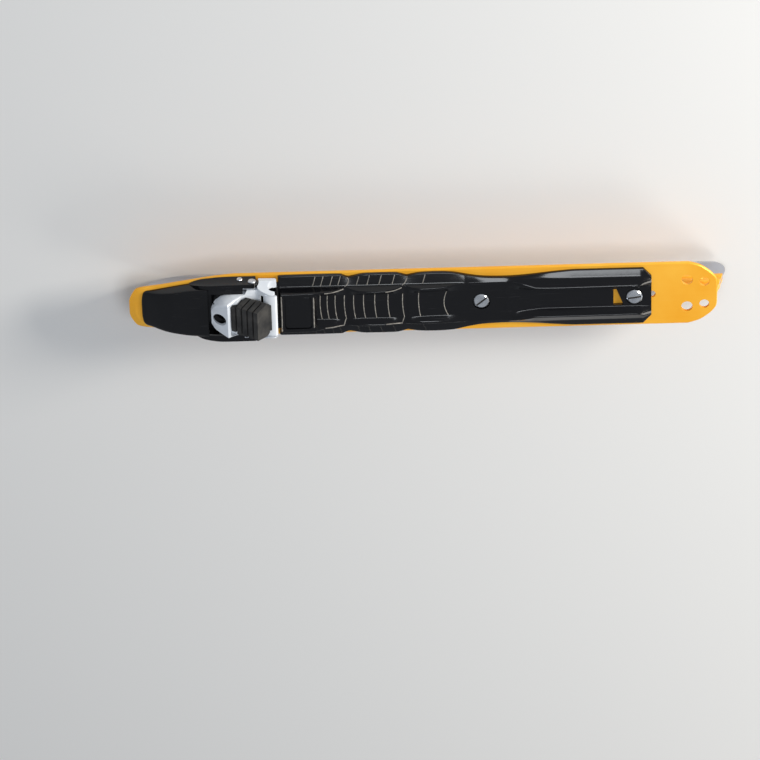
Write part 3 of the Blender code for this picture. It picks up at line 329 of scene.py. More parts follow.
def piece(name, mesh, node, finish=None, sharp=35.0):
    """A finished piece that stands for a CAD node, on the node's body."""
    data = bpy.data.meshes.new(name)
    mesh.to_mesh(data)
    mesh.free()
    data.materials.append(finish or FINISHES[SLOTS[node]])
    data.shade_smooth()
    data.set_sharp_from_angle(angle=math.radians(sharp))
    made = bpy.data.objects.new(name, data)
    bpy.context.scene.collection.objects.link(made)
    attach(made, BODY_OF[node])
    return made


def round_edges(made, width, angle):
    """Rounds the edges that turn by more than an angle."""
    round_off = made.modifiers.new("rounded_edges", "BEVEL")
    round_off.width = width * MM
    round_off.segments = EDGE_STEPS
    round_off.limit_method = "ANGLE"
    round_off.angle_limit = math.radians(angle)
    round_off.harden_normals = True


def eased(node, width, angle=28.0, finish=None):
    """A copy of a CAD node with clean flat faces and rounded edges, shown in the node's place."""
    mesh = bmesh.new()
    mesh.from_mesh(frame["nodes"][node].data)
    bmesh.ops.remove_doubles(mesh, verts=mesh.verts, dist=MERGE_DISTANCE)
    flat = math.radians(FLAT_WITHIN_DEG)
    bmesh.ops.dissolve_limit(mesh, angle_limit=flat, verts=mesh.verts, edges=mesh.edges)
    made = piece(f"{node}_eased", mesh, node, finish, sharp=angle)
    round_edges(made, width, angle)
    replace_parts(made, node)


def show(name, mesh, node, finish=None, sharp=35.0, ease=None):
    """A piece that stands for a node, with its edges rounded by a width where one is given."""
    made = piece(name, mesh, node, finish, sharp)
    if ease:
        round_edges(made, ease, sharp)
    return made


def smooth(points, steps=4):
    """Points on a smooth curve through the given ones, with this many steps between neighbours."""
    found = []
    last = len(points) - 1
    for i in range(last):
        around = [points[min(max(i + k, 0), last)] for k in (-1, 0, 1, 2)]
        for step in range(steps):
            u = step / steps
            weights = (
                (2 * u**2 - u - u**3) / 2,
                (2 - 5 * u**2 + 3 * u**3) / 2,
                (u + 4 * u**2 - 3 * u**3) / 2,
                (u**3 - u**2) / 2,
            )
            found.append(tuple(
                sum(weight * value for weight, value in zip(weights, values)) for values in zip(*around)
            ))
    return found + [points[last]]


def between(curve, place):
    """The value of a list of (place, value) pairs at a place, by straight lines."""
    if place <= curve[0][0]:
        return curve[0][1]
    for (low, first), (high, second) in zip(curve, curve[1:]):
        if place <= high:
            return first + (second - first) * (place - low) / (high - low)
    return curve[-1][1]


def toward(first, second, share):
    """The value at a share of the way from the first to the second."""
    return first + (second - first) * share


def rectangle(front, rear, half_width):
    """A plan outline about the centre line."""
    return ((front, -half_width), (rear, -half_width), (rear, half_width), (front, half_width))


def arc(centre, radius, start_deg, end_deg, steps):
    """Points of an arc in a plane, both ends included."""
    angles = (math.radians(start_deg + (end_deg - start_deg) * i / steps) for i in range(steps + 1))
    return [(centre[0] + radius * math.cos(a), centre[1] + radius * math.sin(a)) for a in angles]


def circle(centre, radius, steps):
    """Points all round a circle, each one once."""
    return arc(centre, radius, 0, 360 - 360 / steps, steps - 1)


def rounded(points, radii, steps=4):
    """The same line with a curve of its own size at each inner corner, always with as many points."""
    found = [points[0]]
    for before, corner, after, radius in zip(points, points[1:], points[2:], radii):
        ends = []
        for other in (before, after):
            run = math.dist(corner, other)
            share = min(radius / run, 0.48) if run else 0.0
            ends.append([near + (far - near) * share for near, far in zip(corner, other)])
        for step in range(steps + 1):
            u = step / steps
            found.append(tuple(
                (1 - u) ** 2 * start + 2 * u * (1 - u) * middle + u**2 * end
                for start, middle, end in zip(ends[0], corner, ends[1])
            ))
    return found + [points[-1]]


def loft(sections):
    """A closed solid: the first section's outline, extruded to each of the others in turn."""
    mesh = bmesh.new()
    ring = [mesh.verts.new(point) for point in sections[0]]
    edges = [mesh.edges.new((ring[i - 1], ring[i])) for i in range(len(ring))]
    mesh.faces.new(ring)
    for section in sections[1:]:
        grown = bmesh.ops.extrude_edge_only(mesh, edges=edges)["geom"]
        edges = [part for part in grown if isinstance(part, bmesh.types.BMEdge)]
        fresh = {part for part in grown if isinstance(part, bmesh.types.BMVert)}
        ring = [
            next(edge.other_vert(v) for edge in v.link_edges if edge.other_vert(v) in fresh) for v in ring
        ]
        for v, point in zip(ring, section):
            v.co = point
    mesh.faces.new(ring)
    bmesh.ops.recalc_face_normals(mesh, faces=mesh.faces)
    return mesh


def joined(meshes):
    """Several meshes as one."""
    whole = bmesh.new()
    for mesh in meshes:
        data = bpy.data.meshes.new("part_of_mesh")
        mesh.to_mesh(data)
        mesh.free()
        whole.from_mesh(data)
        bpy.data.meshes.remove(data)
    return whole


def plan_prism(outline, low, high):
    """A plan outline of (station, across), extruded between two heights above the plate."""
    return loft([[at(s, y, z) for s, y in outline] for z in (low, high)])


def side_prism(outline, low, high):
    """A side outline of (station, height above the plate), extruded across from low to high."""
    return loft([[at(s, y, z) for s, z in outline] for y in (low, high)])


def cylinder(station, across, radius, low, high):
    """An upright cylinder between two heights above the plate."""
    return plan_prism(circle((station, across), radius, CYLINDER_STEPS), low, high)


def carved(mesh, cutter):
    """A mesh with a cutter's space taken out."""
    objects = []
    for name, solid in (("carved_body", mesh), ("carving_cutter", cutter)):
        data = bpy.data.meshes.new(name)
        solid.to_mesh(data)
        solid.free()
        made = bpy.data.objects.new(name, data)
        bpy.context.scene.collection.objects.link(made)
        objects.append(made)
    body, tool = objects
    cut = body.modifiers.new("carving", "BOOLEAN")
    cut.operation = "DIFFERENCE"
    cut.solver = "EXACT"
    cut.object = tool
    result = bmesh.new()
    result.from_object(body, bpy.context.evaluated_depsgraph_get())
    for made in objects:
        data = made.data
        bpy.data.objects.remove(made)
        bpy.data.meshes.remove(data)
    bmesh.ops.remove_doubles(result, verts=result.verts, dist=CARVED_MERGE_DISTANCE)
    return result


RIDGE_PROFILE = (
    (-0.5, -0.5), (-0.5, 0.3), (-0.25, 0.85), (0.0, 1.0), (0.25, 0.85), (0.5, 0.3), (0.5, -0.5),
)


def ridge(path, width, height):
    """A low rounded ridge along a path of points in metres, sunk a little into what carries it."""
    upward = Vector((0.0, 0.0, 1.0))
    last = len(path) - 1
    sections = []
    for i, point in enumerate(path):
        along = (path[min(i + 1, last)] - path[max(i - 1, 0)]).normalized()
        sideways = along.cross(upward).normalized()
        sections.append([
            point + (sideways * width * across + upward * height * level) * MM
            for across, level in RIDGE_PROFILE
        ])
    return loft(sections)


# Boot guide plate: the same form as its solid, with rounded corners and thin ribs

GUIDE_FRONT = AXLE_STATION + 19.2
BLOCK_REAR = 139.2
CHANNEL_START = 142.0
GUIDE_REAR = 395.0
GUIDE_FRONT_LEAN = 2.4
LEAN_RUN = 4.0
RING_SPACING = 0.25
FIRST_RING = 0.9

# Its cross-section along the rails, and the values it has at the heel instead
CHANNEL_FLOOR, HEEL_FLOOR = 6.8, 3.0
CHANNEL_HALF_WIDTH, HEEL_HALF_WIDTH = 10.4, 8.2
SHELF_HEIGHT, HEEL_SHELF_HEIGHT = 4.9, 4.0
SHELF_EDGE, HEEL_EDGE = 3.0, 2.2
RAIL_FOOT, HEEL_FOOT = 17.0, 18.6
RAIL_SLOPE, HEEL_SLOPE = 0.298, 1.45
HEEL_SHARES = (0.569, 0.672)
WAIST_HEIGHT = 4.4
RIDGE_WIDTH = 0.9
SMALL_STEP = 0.1
TOP_STEP = 0.06
CORNER_RADII = (0.6, 0.8, 0.8, 1.0, 0.6)

# Its bolts, recess and window, and the tongue under the lever's claws
MIDDLE_BOLT = 266.4
REAR_BOLT = 382.2
WING_BOLTS = 126.0
WING_OFFSET = 8.7
COVER_FRONT = 118.0
COVER_REAR = 137.8
COVER_HALF_WIDTH = 13.4
COVER_TOP = 13.9
COVER_THICKNESS = 1.3
COVER_CORNER = 2.5
WELL_FLOOR = 4.0
WELL_RADIUS = 4.2
HEAD_SEAT = 1.5
HEAD_BORE_RADIUS = 6.7
PEEP_WINDOW = ((15.9, -7.0), (8.3, -7.0), (13.6, 7.0), (15.9, 7.0))
TONGUE_FRONT = AXLE_STATION + 6.2
TONGUE_HALF_WIDTH = 20.0
TONGUE_TOP = 2.4

# Its ribs and the edges painted pale as highlights, where a size is a width and a height
CHANNEL_RIBS = (144.4, 149.7, 155.7, 162.7, 169.7, 177.2, 185.7, 195.7, 206.7, 218.8, 238.0)
CHANNEL_RIB_HALF = 10.3
CHANNEL_RIB_SIZE = (0.75, 0.4)
CHANNEL_RIB_BOW = 0.7
DEEP_BOW = 2.5
DEEP_BOW_FROM = 230.0
SHELF_RIBS = (139.0, 145.0, 152.0, 158.0, 172.0, 180.0, 189.0, 199.0, 222.0)
SHELF_RIB_START = 17.6
SHELF_RIB_SLANT = 2.2
SHELF_RIB_SIZE = (0.7, 0.35)
BLOCK_EDGES = ((BLOCK_REAR + 0.3, 13.2), (GUIDE_FRONT + 2.6, 15.2))
BLOCK_EDGE_SIZE = (1.1, 0.5)
BLOCK_EDGE_SINK = 0.35
RIB_STEPS = 12
SHELF_RIB_STEPS = 6
LEAF_EDGE_SIZE = (0.8, 0.4)
LEAF_END_RUN = 1.6
LEAF_CRESTS = ((148.0, 162.0), (194.0, 206.0))
LEAF_ENDS = (
    ((163.6, 17.0), (164.8, 18.0), (165.9, 20.0), (166.1, 22.4), (165.0, 23.4)),
    ((207.4, 17.4), (208.4, 18.2), (209.4, 19.8), (210.2, 22.2), (210.4, 23.3)),
)


def along_guide(share):
    """A station on the guide plate, from a share of its length behind the front block."""
    return CHANNEL_START + share * (GUIDE_REAR - CHANNEL_START)


CREST = smooth(
    (
        (GUIDE_FRONT, 15.2),
        (GUIDE_FRONT + 9.0, 15.0),
        (BLOCK_REAR, 14.3),
    )
    + tuple(
        (along_guide(share), height)
        for share, height in (
            (0.016, 12.6),
            (0.047, 11.0),
            (0.068, 8.6),
            (0.089, 6.5),
            (0.107, 8.7),
            (0.130, 10.4),
            (0.162, 11.1),
            (0.198, 10.8),
            (0.229, 9.3),
            (0.263, 6.2),
            (0.281, 8.0),
            (0.308, 9.2),
            (0.348, 9.0),
            (0.387, 7.9),
            (0.427, 5.8),
            (0.458, WAIST_HEIGHT),
            (0.506, WAIST_HEIGHT),
            (0.561, WAIST_HEIGHT),
            (0.589, 5.4),
            (0.621, 7.2),
            (0.656, 8.5),
            (0.704, 9.0),
            (0.822, 8.8),
            (0.964, 8.3),
        )
    ),
    6,
) + [(GUIDE_REAR, 3.5)]
RIDGE = smooth(
    tuple(
        (along_guide(share), half_width)
        for share, half_width in (
            (0.0, 15.0),
            (0.047, 15.2),
            (0.069, 15.4),
            (0.082, 15.9),
            (0.089, 16.0),
            (0.099, 15.2),
            (0.107, 14.3),
            (0.126, 13.5),
            (0.170, 13.9),
            (0.225, 14.3),
            (0.245, 15.0),
            (0.261, 16.0),
            (0.273, 15.0),
            (0.285, 14.1),
            (0.308, 13.6),
            (0.356, 13.9),
            (0.391, 14.6),
            (0.427, 15.8),
            (0.455, 16.0),
            (0.569, 16.0),
            (0.589, 15.0),
            (0.609, 13.3),
            (0.640, 12.3),
            (0.672, 12.0),
            (1.0, 12.0),
        )
    ),
    4,
)
OUTLINE = smooth(
    ((GUIDE_FRONT, 25.0), (GUIDE_FRONT + 4.0, 25.8))
    + tuple(
        (along_guide(share), half_width)
        for share, half_width in (
            (0.058, 25.8),
            (0.078, 25.0),
            (0.094, 23.6),
            (0.107, 24.0),
            (0.130, 25.3),
            (0.155, 25.8),
            (0.229, 25.8),
            (0.251, 25.0),
            (0.269, 23.6),
            (0.282, 24.1),
            (0.308, 25.2),
            (0.356, 25.6),
            (0.407, 24.9),
            (0.451, 22.5),
            (0.490, 20.8),
            (0.534, 20.1),
            (0.585, 20.1),
            (0.644, 21.2),
            (0.704, 22.8),
            (0.763, 24.0),
            (0.802, 24.1),
            (0.976, 24.1),
        )
    ),
    6,
) + [(GUIDE_REAR, 17.2)]


def heel_share(station):
    """0 in front of the heel's narrow channel and 1 from its full form on."""
    return between([(along_guide(share), i) for i, share in enumerate(HEEL_SHARES)], station)


def floor_level(station):
    """Height of the channel's floor between the rails."""
    waist = ((along_guide(0.265), CHANNEL_FLOOR), (along_guide(0.451), WAIST_HEIGHT))
    return toward(between(waist, station), HEEL_FLOOR, heel_share(station))


def guide_line(station):
    """Half a cross-section with sharp corners, as (across, height) points from the centre line."""
    crest = between(CREST, station)
    half_width = between(OUTLINE, station)
    heel = heel_share(station)
    shelf = min(toward(SHELF_HEIGHT, HEEL_SHELF_HEIGHT, heel), crest - TOP_STEP)
    foot = min(toward(RAIL_FOOT, HEEL_FOOT, heel), half_width - 2.0)
    leaning = between(((BLOCK_REAR, 0.0), (along_guide(0.07), 1.0)), station)
    slope = RAIL_SLOPE * leaning + (HEEL_SLOPE - RAIL_SLOPE) * heel
    floor_half = toward(CHANNEL_HALF_WIDTH, HEEL_HALF_WIDTH, heel)
    floor = min(floor_level(station), crest - TOP_STEP)
    inner = min(between(RIDGE, station), foot - SMALL_STEP - RIDGE_WIDTH)
    if station < CHANNEL_START:
        floor = crest - TOP_STEP
        inner = floor_half + SMALL_STEP
    outer = max(
        foot - SMALL_STEP - slope * (crest - shelf),
        floor_half + 2 * RIDGE_WIDTH,
        inner + RIDGE_WIDTH,
    )
    edge = toward(SHELF_EDGE, HEEL_EDGE, heel)
    return (
        (0.0, floor),
        (floor_half, floor),
        (inner, crest),
        (outer, crest),
        (foot, shelf),
        (half_width, edge),
        (half_width, GAP),
    )


def guide_half(station):
    """The cross-section with its corners rounded."""
    return rounded(guide_line(station), CORNER_RADII)


def on_shelf(station, across):
    """Height of the plate's outside, from a rail's crest down to the rim."""
    return between(guide_line(station)[3:6], abs(across))


def ring_of(half, station, lean=0.0):
    """A closed ring from half a cross-section, mirrored about the centre line."""
    ring = [at(station + lean * z, -y, z) for y, z in half]
    return ring + [at(station + lean * z, y, z) for y, z in reversed(half[1:])]


def guide_form():
    """The plate's outer form, from its front wall to its heel end."""
    stations = {s for s, _ in CREST if not BLOCK_REAR < s < CHANNEL_START}
    stations.update(s for s, _ in OUTLINE if s > CHANNEL_START)
    ordered = [GUIDE_FRONT]
    for station in sorted(stations | {CHANNEL_START, GUIDE_FRONT + FIRST_RING}):
        if station - ordered[-1] > RING_SPACING:
            ordered.append(station)
    rings = []
    for station in ordered:
        lean = GUIDE_FRONT_LEAN / CREST[0][1] * max(0.0, 1 - (station - GUIDE_FRONT) / LEAN_RUN)
        rings.append(ring_of(guide_half(station), station, lean))
    return loft(rings)


def make_guide():
    """The plate with its recess, wells and window, the tongue in front and all its ribs."""
    recess_floor = COVER_TOP - COVER_THICKNESS - GAP
    cutters = [plan_prism(cover_outline(GAP), recess_floor, COVER_TOP + 10)]
    for side in (-1, 1):
        across = side * WING_OFFSET
        cutters.append(cylinder(WING_BOLTS, across, WELL_RADIUS, WELL_FLOOR, recess_floor + 1))
    for station in (MIDDLE_BOLT, REAR_BOLT):
        cutters.append(cylinder(station, 0, HEAD_BORE_RADIUS, HEAD_SEAT, 12.0))
    window = [(REAR_BOLT - ahead, across) for ahead, across in PEEP_WINDOW]
    cutters.append(plan_prism(window, -1.0, 10.0))
    mesh = guide_form()
    for cutter in cutters:
        mesh = carved(mesh, cutter)
    body = show("guide_plate_form", mesh, "guide_plate", sharp=30.0, ease=0.3)
    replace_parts(body, "guide_plate")
    tongue = rectangle(TONGUE_FRONT, GUIDE_FRONT + 1.0, TONGUE_HALF_WIDTH)
    show("guide_plate_tongue", plan_prism(tongue, GAP, TONGUE_TOP), "guide_plate", ease=0.3)
    # The ribs, leaf ends and block edges in lit are painted pale as highlights; the shelf ribs on the far
    # side stay black as their shaded copies.
    lit = make_channel_ribs()
    shaded = []
    for side in (-1, 1):
        (lit if side > 0 else shaded).extend(make_shelf_ribs(side))
        for crest_span, shelf_path in zip(LEAF_CRESTS, LEAF_ENDS):
            lit.append(make_leaf_end(side, crest_span, shelf_path))
    for place, half in BLOCK_EDGES:
        level = between(CREST, place) - BLOCK_EDGE_SINK
        path = [at(place, half * (2 * i / RIB_STEPS - 1), level) for i in range(RIB_STEPS + 1)]
        lit.append(ridge(path, *BLOCK_EDGE_SIZE))
    show("guide_plate_ribs", joined(lit), "guide_plate", PAINTED_HIGHLIGHT_EDGES, sharp=60.0)
    show("guide_plate_far_ribs", joined(shaded), "guide_plate", sharp=60.0)


def make_channel_ribs():
    """Low bowed ribs across the channel's floor."""
    ribs = []
    for station in CHANNEL_RIBS:
        bow = DEEP_BOW if station > DEEP_BOW_FROM else CHANNEL_RIB_BOW
        path = []
        for i in range(RIB_STEPS + 1):
            share = 2 * i / RIB_STEPS - 1
            place = station + bow * share**2 - 0.5 * share
            path.append(at(place, CHANNEL_RIB_HALF * share, floor_level(place)))
        ribs.append(ridge(path, *CHANNEL_RIB_SIZE))
    return ribs


def make_shelf_ribs(side):
    """Low slanted ribs across one of the shelves outside the rails."""
    ribs = []
    for station in SHELF_RIBS:
        rim = between(OUTLINE, station + 2.0) - 0.8
        path = []
        for i in range(SHELF_RIB_STEPS + 1):
            share = i / SHELF_RIB_STEPS
            across = toward(SHELF_RIB_START, rim, share)
            place = station + SHELF_RIB_SLANT * share
            path.append(at(place, side * across, on_shelf(place, across)))
        ribs.append(ridge(path, *SHELF_RIB_SIZE))
    return ribs


def make_leaf_end(side, crest_span, shelf_path):
    """The edge, painted pale as a highlight, that follows a rail's inner crest and leaves it at the end of
    a scallop.
    """
    path = []
    start, end = crest_span
    for i in range(RIB_STEPS + 1):
        place = toward(start, end, i / RIB_STEPS)
        across = between(RIDGE, place) + SMALL_STEP
        path.append(at(place, side * across, between(CREST, place) - SMALL_STEP))
    if side > 0:
        for place, across in smooth(shelf_path, 3):
            path.append(at(place, across, on_shelf(place, across)))
    else:
        for share in (0.35, 0.7, 1.0):
            place = end + LEAF_END_RUN * share
            across = toward(between(RIDGE, end), CHANNEL_HALF_WIDTH, share)
            path.append(at(place, -across, toward(between(CREST, end), floor_level(place), share)))
    return ridge(path, *LEAF_EDGE_SIZE)


def cover_outline(margin=0.0, corner_steps=8):
    """The cover's plan outline with round corners, grown by a margin."""
    front, rear = COVER_FRONT - margin, COVER_REAR + margin
    half = COVER_HALF_WIDTH + margin
    r = COVER_CORNER
    return (
        arc((front + r, -half + r), r, 180, 270, corner_steps)
        + arc((rear - r, -half + r), r, 270, 360, corner_steps)
        + arc((rear - r, half - r), r, 0, 90, corner_steps)
        + arc((front + r, half - r), r, 90, 180, corner_steps)
    )


def make_cover():
    """The clip-in panel over the two wing bolts."""
    panel = plan_prism(cover_outline(), COVER_TOP - COVER_THICKNESS, COVER_TOP)
    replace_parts(show("screw_cover_panel", panel, "screw_cover", ease=0.3), "screw_cover")


make_guide()
make_cover()

# Binding housing: a crowned hood with soft shoulders, two ears and a floor

HOUSING_FRONT = 9.6
HOOD_REAR = 59.8
EAR_THICK_INNER = 17.6
EAR_THICK_END = AXLE_STATION - 7.2
EAR_OUTER = 24.8
EAR_INNER = 22.1
EAR_END_RADIUS = 4.6
EAR_CROWN_HALF = 19.7
EAR_END_STEPS = 12
EAR_END_STEP_DEG = 7
EAR_FREE_FROM = 6
HOOD_CORNER_RADII = (5.0, 1.4, 1.4)
HOLLOW_FRONT = HOUSING_FRONT + 13.0
HOLLOW_REAR = HOOD_REAR - 2.6
HOLLOW_TOP = 6.6
FLOOR_REAR = AXLE_STATION - 10.4
FLOOR_HALF_WIDTH = 18.0
FLOOR_LOW, FLOOR_TOP = 1.8, 3.0
EAR_FLARE = 0.6
EAR_FOOT = 1.6
FRONT_BOLT = 69.5
FRONT_BOLT_BORE = 3.1
AXLE_BORE = ((0.0, 0.0), 2.3)
STOP_PIN_BORE = ((-9.3, -3.3), 1.9)


def make_housing():
    """The hood, the floor under the lever and both ears."""
    hood = smooth((
        (HOUSING_FRONT, 1.1, 0.9, 7.0),
        (HOUSING_FRONT + 1.0, 1.7, 1.2, 12.2),
        (HOUSING_FRONT + 3.2, 2.7, 1.9, 14.6),
        (HOUSING_FRONT + 7.4, 5.3, 3.8, 15.4),
        (HOUSING_FRONT + 14.4, 9.0, 7.3, 16.6),
        (HOUSING_FRONT + 20.4, 10.8, 9.1, 17.7),
        (HOUSING_FRONT + 26.4, 11.7, 10.0, 18.7),
        (HOUSING_FRONT + 36.4, 12.2, 10.6, 20.2),
        (HOOD_REAR, 12.9, 11.3, 20.9),
    ), 8)
    rings = []
    for station, top, shoulder, half_width in hood:
        line = (
            (0.0, top + 0.15),
            (0.6 * half_width, top),
            (half_width - 2.0, top - 0.3 * (top - shoulder)),
            (half_width - 0.4, shoulder),
            (half_width + 0.2, GAP),
        )
        rings.append(ring_of(rounded(line, HOOD_CORNER_RADII, 5), station))
    hollow = ((HOLLOW_FRONT, -12.0), (HOLLOW_REAR, -15.5), (HOLLOW_REAR, 15.5), (HOLLOW_FRONT, 12.0))
    mesh = carved(loft(rings), plan_prism(hollow, GAP - 1, HOLLOW_TOP))
    hood_piece = show("binding_housing_hood", mesh, "binding_housing", sharp=30.0, ease=0.35)
    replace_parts(hood_piece, "binding_housing")
    plan = rectangle(HOOD_REAR - 0.6, FLOOR_REAR, FLOOR_HALF_WIDTH)
    bore = cylinder(FRONT_BOLT, 0, FRONT_BOLT_BORE, FLOOR_LOW - 1.8, FLOOR_TOP + 2)
    floor = carved(plan_prism(plan, FLOOR_LOW, FLOOR_TOP), bore)
    show("binding_housing_floor", floor, "binding_housing", ease=0.15)
    ears = joined([make_ear(side) for side in (-1, 1)])
    show("binding_housing_ears", ears, "binding_housing", sharp=30.0, ease=0.35)


def make_ear(side):
    """One ear: thick beside the lever, thin beside the bracket, round at its end."""
    top = smooth((
        (46.0, 1.9),
        (49.0, 5.2),
        (53.0, 8.2),
        (57.0, 10.0),
        (62.0, 11.3),
        (68.0, 12.0),
        (AXLE_STATION - 14.0, 12.1),
        (EAR_THICK_END, AXLE_HEIGHT + EAR_END_RADIUS),
    ), 5)
    outer = smooth((
        (46.0, 20.2),
        (50.0, 22.0),
        (55.5, 23.4),
        (62.0, 24.1),
        (72.0, EAR_OUTER),
        (99.0, EAR_OUTER),
    ), 5)
    crown = ((46.0, 0.0), (60.0, 1.3))
    thick = [(s, EAR_THICK_INNER, between(crown, s), GAP, z) for s, z in top]
    thin = [(EAR_THICK_END + 0.02, EAR_INNER, 0.0, GAP, top[-1][1])]
    for step in range(EAR_END_STEPS + 1):
        angle = math.radians(90 - EAR_END_STEP_DEG * step)
        rise = EAR_END_RADIUS * math.sin(angle)
        low = AXLE_HEIGHT - rise if step >= EAR_FREE_FROM else GAP
        station = AXLE_STATION + EAR_END_RADIUS * math.cos(angle)
        thin.append((station, EAR_INNER, 0.0, low, AXLE_HEIGHT + rise))
    rings = []
    for station, inner, ridge_rise, low, high in thick + thin:
        outside = between(outer, station)
        foot = EAR_FOOT if low == GAP else low + 0.2
        flare = EAR_FLARE if low == GAP else 0.0
        flat_end = EAR_CROWN_HALF if inner < EAR_CROWN_HALF else inner + 1.0
        corners = (
            (inner, low),
            (outside + flare, low),
            (outside, foot),
            (outside, high),
            (flat_end, high),
            (inner, high + ridge_rise),
        )
        rings.append([at(station, side * y, z) for y, z in corners])
    mesh = loft(rings)
    for (behind, above), radius in (AXLE_BORE, STOP_PIN_BORE):
        outline = circle((AXLE_STATION + behind, AXLE_HEIGHT + above), radius, BORE_STEPS)
        mesh = carved(mesh, side_prism(outline, *sorted((side * 10, side * 30))))
    return mesh


make_housing()

# Return spring: a coil of round wire, made in a single shape (the real one is pressed together as the
# lever goes down)

SPRING_STATION = AXLE_STATION - 15.6
SPRING_LOW = 3.3
SPRING_HIGH = 14.9
SPRING_RADIUS = 2.9
WIRE_RADIUS = 0.5
SPRING_TURNS = 4
END_TURNS = 0.9
END_PITCH = 1.35
STEPS_PER_TURN = 36


def make_spring():
    """A coil with nearly closed end turns and an open middle."""
    low, high = SPRING_LOW + WIRE_RADIUS, SPRING_HIGH - WIRE_RADIUS
    open_turns = SPRING_TURNS - 2 * END_TURNS
    rise = high - low - 2 * END_TURNS * END_PITCH
    wire = circle((0, 0), WIRE_RADIUS, WIRE_STEPS)
    sections = []
    for i in range(SPRING_TURNS * STEPS_PER_TURN + 1):
        turn = i / STEPS_PER_TURN
        opened = min(max(turn - END_TURNS, 0.0), open_turns)
        height = low + END_PITCH * (turn - opened) + rise * opened / open_turns
        angle = math.tau * turn
        section = []
        for out, up in wire:
            reach = SPRING_RADIUS + out
            station = SPRING_STATION + reach * math.cos(angle)
            section.append(at(station, reach * math.sin(angle), height + up))
        sections.append(section)
    coil = show("return_spring_coil", loft(sections), "return_spring", PRESSED_STEEL, sharp=60.0)
    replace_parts(coil, "return_spring")
    seat = at(SPRING_STATION, 0, SPRING_LOW)[:]
    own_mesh(coil)


make_spring()

# Painted shade in the screws' slots: dark strips where the slots are in shade

HEAD_HEIGHT = 2.8
SLOT_DEPTH = 1.3
SLOT_HALF_WIDTH = 0.62
SLOT_HALF_LENGTH = 5.2
SHADE_LOW, SHADE_TOP = 0.05, 0.7


def paint_slot_shade(node, station, slot_deg):
    """A dark strip painted as shade that fills the lower half of a screw's slot."""
    turn = Matrix.Rotation(math.radians(slot_deg), 2)
    corners = rectangle(-SLOT_HALF_LENGTH, SLOT_HALF_LENGTH, SLOT_HALF_WIDTH)
    outline = [turn @ Vector(corner) for corner in corners]
    floor = HEAD_SEAT + GAP + HEAD_HEIGHT - SLOT_DEPTH
    plan = [(station + corner.x, corner.y) for corner in outline]
    strip = plan_prism(plan, floor + SHADE_LOW, floor + SHADE_TOP)
    show(f"{node}_slot_dirt", strip, node, PAINTED_SLOT_SHADE)


paint_slot_shade("middle_bolt", MIDDLE_BOLT, 40)
paint_slot_shade("rear_bolt", REAR_BOLT, 8)

# Softened copies of the other solids, with the width that each one's edges are rounded by

EASED = {
    "holder_profile": 0.3,
    "steel_blade": 0.12,
    "pivot_bracket": 0.2,
    "jaw_lever": 0.55,
    "flexor": 0.35,
    "lever_axle": 0.25,
    "stop_pin": 0.2,
    "front_bolt": 0.2,
    "middle_bolt": 0.2,
    "rear_bolt": 0.2,
    "wing_bolt_left": 0.2,
    "wing_bolt_right": 0.2,
    "front_nut": 0.2,
    "middle_nut": 0.2,
    "rear_nut": 0.2,
    "wing_nut_left": 0.2,
    "wing_nut_right": 0.2,
}
REPLACED = ("guide_plate", "screw_cover", "binding_housing", "return_spring")
BRIGHT = ("pivot_bracket", "lever_axle", "stop_pin")
for node, width in EASED.items():
    eased(node, width, finish=PRESSED_STEEL if node in BRIGHT else None)

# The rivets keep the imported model's own meshes
for node in frame["nodes"]:
    if node not in EASED and node not in REPLACED:
        mesh = frame["nodes"][node].data
        mesh.materials.clear()
        mesh.materials.append(FINISHES[SLOTS[node]])

# Camera: where the photograph was taken from

VIEW_TILT = math.radians(32.0)
VIEW_ROLL = math.radians(1.55)
PIXELS_PER_MM = 1.3213
IMAGE_SIZE = 760
LENS = 250.0
CENTRE_IN_PHOTO = (428.7, 300.0)

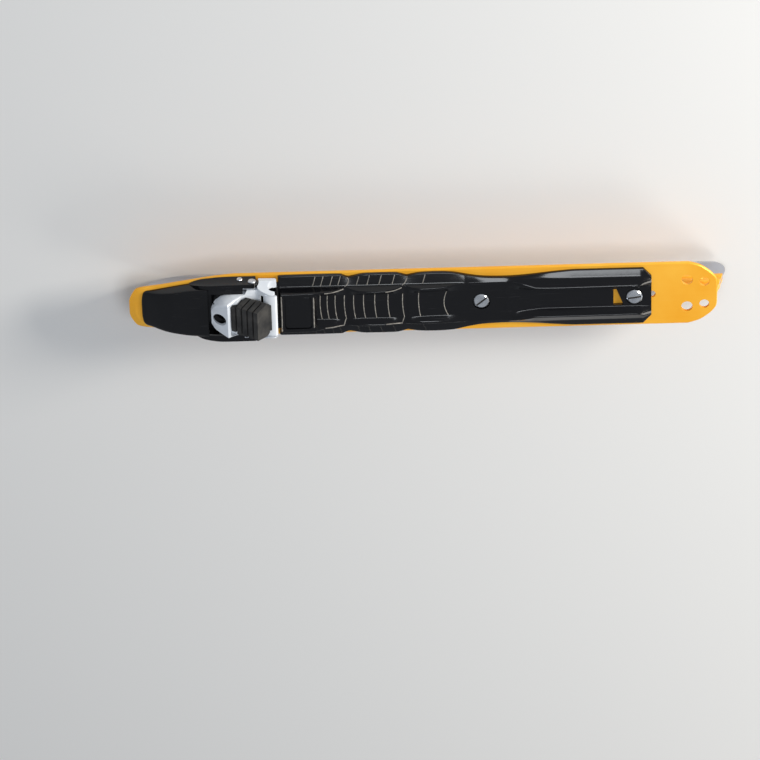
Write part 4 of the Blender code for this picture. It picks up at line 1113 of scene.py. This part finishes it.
back = Vector((0.0, math.sin(VIEW_TILT), math.cos(VIEW_TILT)))
level_up = Vector((0.0, math.cos(VIEW_TILT), -math.sin(VIEW_TILT)))
toe_to_heel = Vector((1.0, 0.0, 0.0))
right = toe_to_heel * math.cos(VIEW_ROLL) - level_up * math.sin(VIEW_ROLL)
up = toe_to_heel * math.sin(VIEW_ROLL) + level_up * math.cos(VIEW_ROLL)
camera_data = bpy.data.cameras.new("photo_view")
camera_data.lens = LENS
camera_data.clip_start = 0.01
camera_data.clip_end = 50.0
distance = IMAGE_SIZE * LENS / (camera_data.sensor_width * PIXELS_PER_MM)
aside = (CENTRE_IN_PHOTO[0] - IMAGE_SIZE / 2) / PIXELS_PER_MM
above = (IMAGE_SIZE / 2 - CENTRE_IN_PHOTO[1]) / PIXELS_PER_MM
camera = bpy.data.objects.new("photo_view", camera_data)
camera.matrix_world = Matrix.Translation(
    at(LENGTH / 2, 0, 0) + (back * distance - right * aside - up * above) * MM
) @ Matrix((right, up, back)).transposed().to_4x4()
bpy.context.scene.collection.objects.link(camera)
bpy.context.scene.camera = camera

# Floor, world and lamps

FLOOR_HALF_SIZE = 6.0
FLOOR_DROP = 0.0002
FLOOR_GREY = (0.70, 0.70, 0.70)
ROOM_COLOUR = (0.86, 0.92, 1.0, 1.0)
ROOM_STRENGTH = 0.35

floor_mesh = bmesh.new()
bmesh.ops.create_grid(floor_mesh, x_segments=1, y_segments=1, size=FLOOR_HALF_SIZE)
floor_data = bpy.data.meshes.new("pale_floor")
floor_mesh.to_mesh(floor_data)
floor_mesh.free()
floor_finish = Finish("pale_floor", Roughness=0.9, Specular_IOR_Level=0.1)
floor_finish.set("Base Color", FLOOR_GREY)
floor_data.materials.append(floor_finish.material)
floor = bpy.data.objects.new("pale_floor", floor_data)
floor.location.z = -FLOOR_DROP
bpy.context.scene.collection.objects.link(floor)

world = bpy.data.worlds.new("soft_room")
bpy.context.scene.world = world
world.use_nodes = True
room = world.node_tree.nodes["Background"]
room.inputs["Color"].default_value = ROOM_COLOUR
room.inputs["Strength"].default_value = ROOM_STRENGTH


SUNLIGHT = (1.0, 0.95, 0.86)
SKYLIGHT = (0.92, 0.96, 1.0)
LAMP_TARGET = (0.0, 0.0, 0.04)


def lamp(name, place, size, watts, colour):
    """A soft square lamp that faces the skate."""
    light = bpy.data.lights.new(name, "AREA")
    light.size = size
    light.energy = watts
    light.color = colour
    made = bpy.data.objects.new(name, light)
    made.location = place
    made.rotation_euler = (Vector(LAMP_TARGET) - Vector(place)).to_track_quat("-Z", "Y").to_euler()
    bpy.context.scene.collection.objects.link(made)


lamp("key", (1.4, 0.65, 0.75), 0.45, 27.0, SUNLIGHT)
lamp("fill", (0.1, 0.5, 1.57), 0.5, 8.0, SKYLIGHT)
lamp("glint", (1.12, -0.85, 0.80), 0.5, 6.0, SUNLIGHT)

bpy.context.scene.view_settings.view_transform = "Standard"
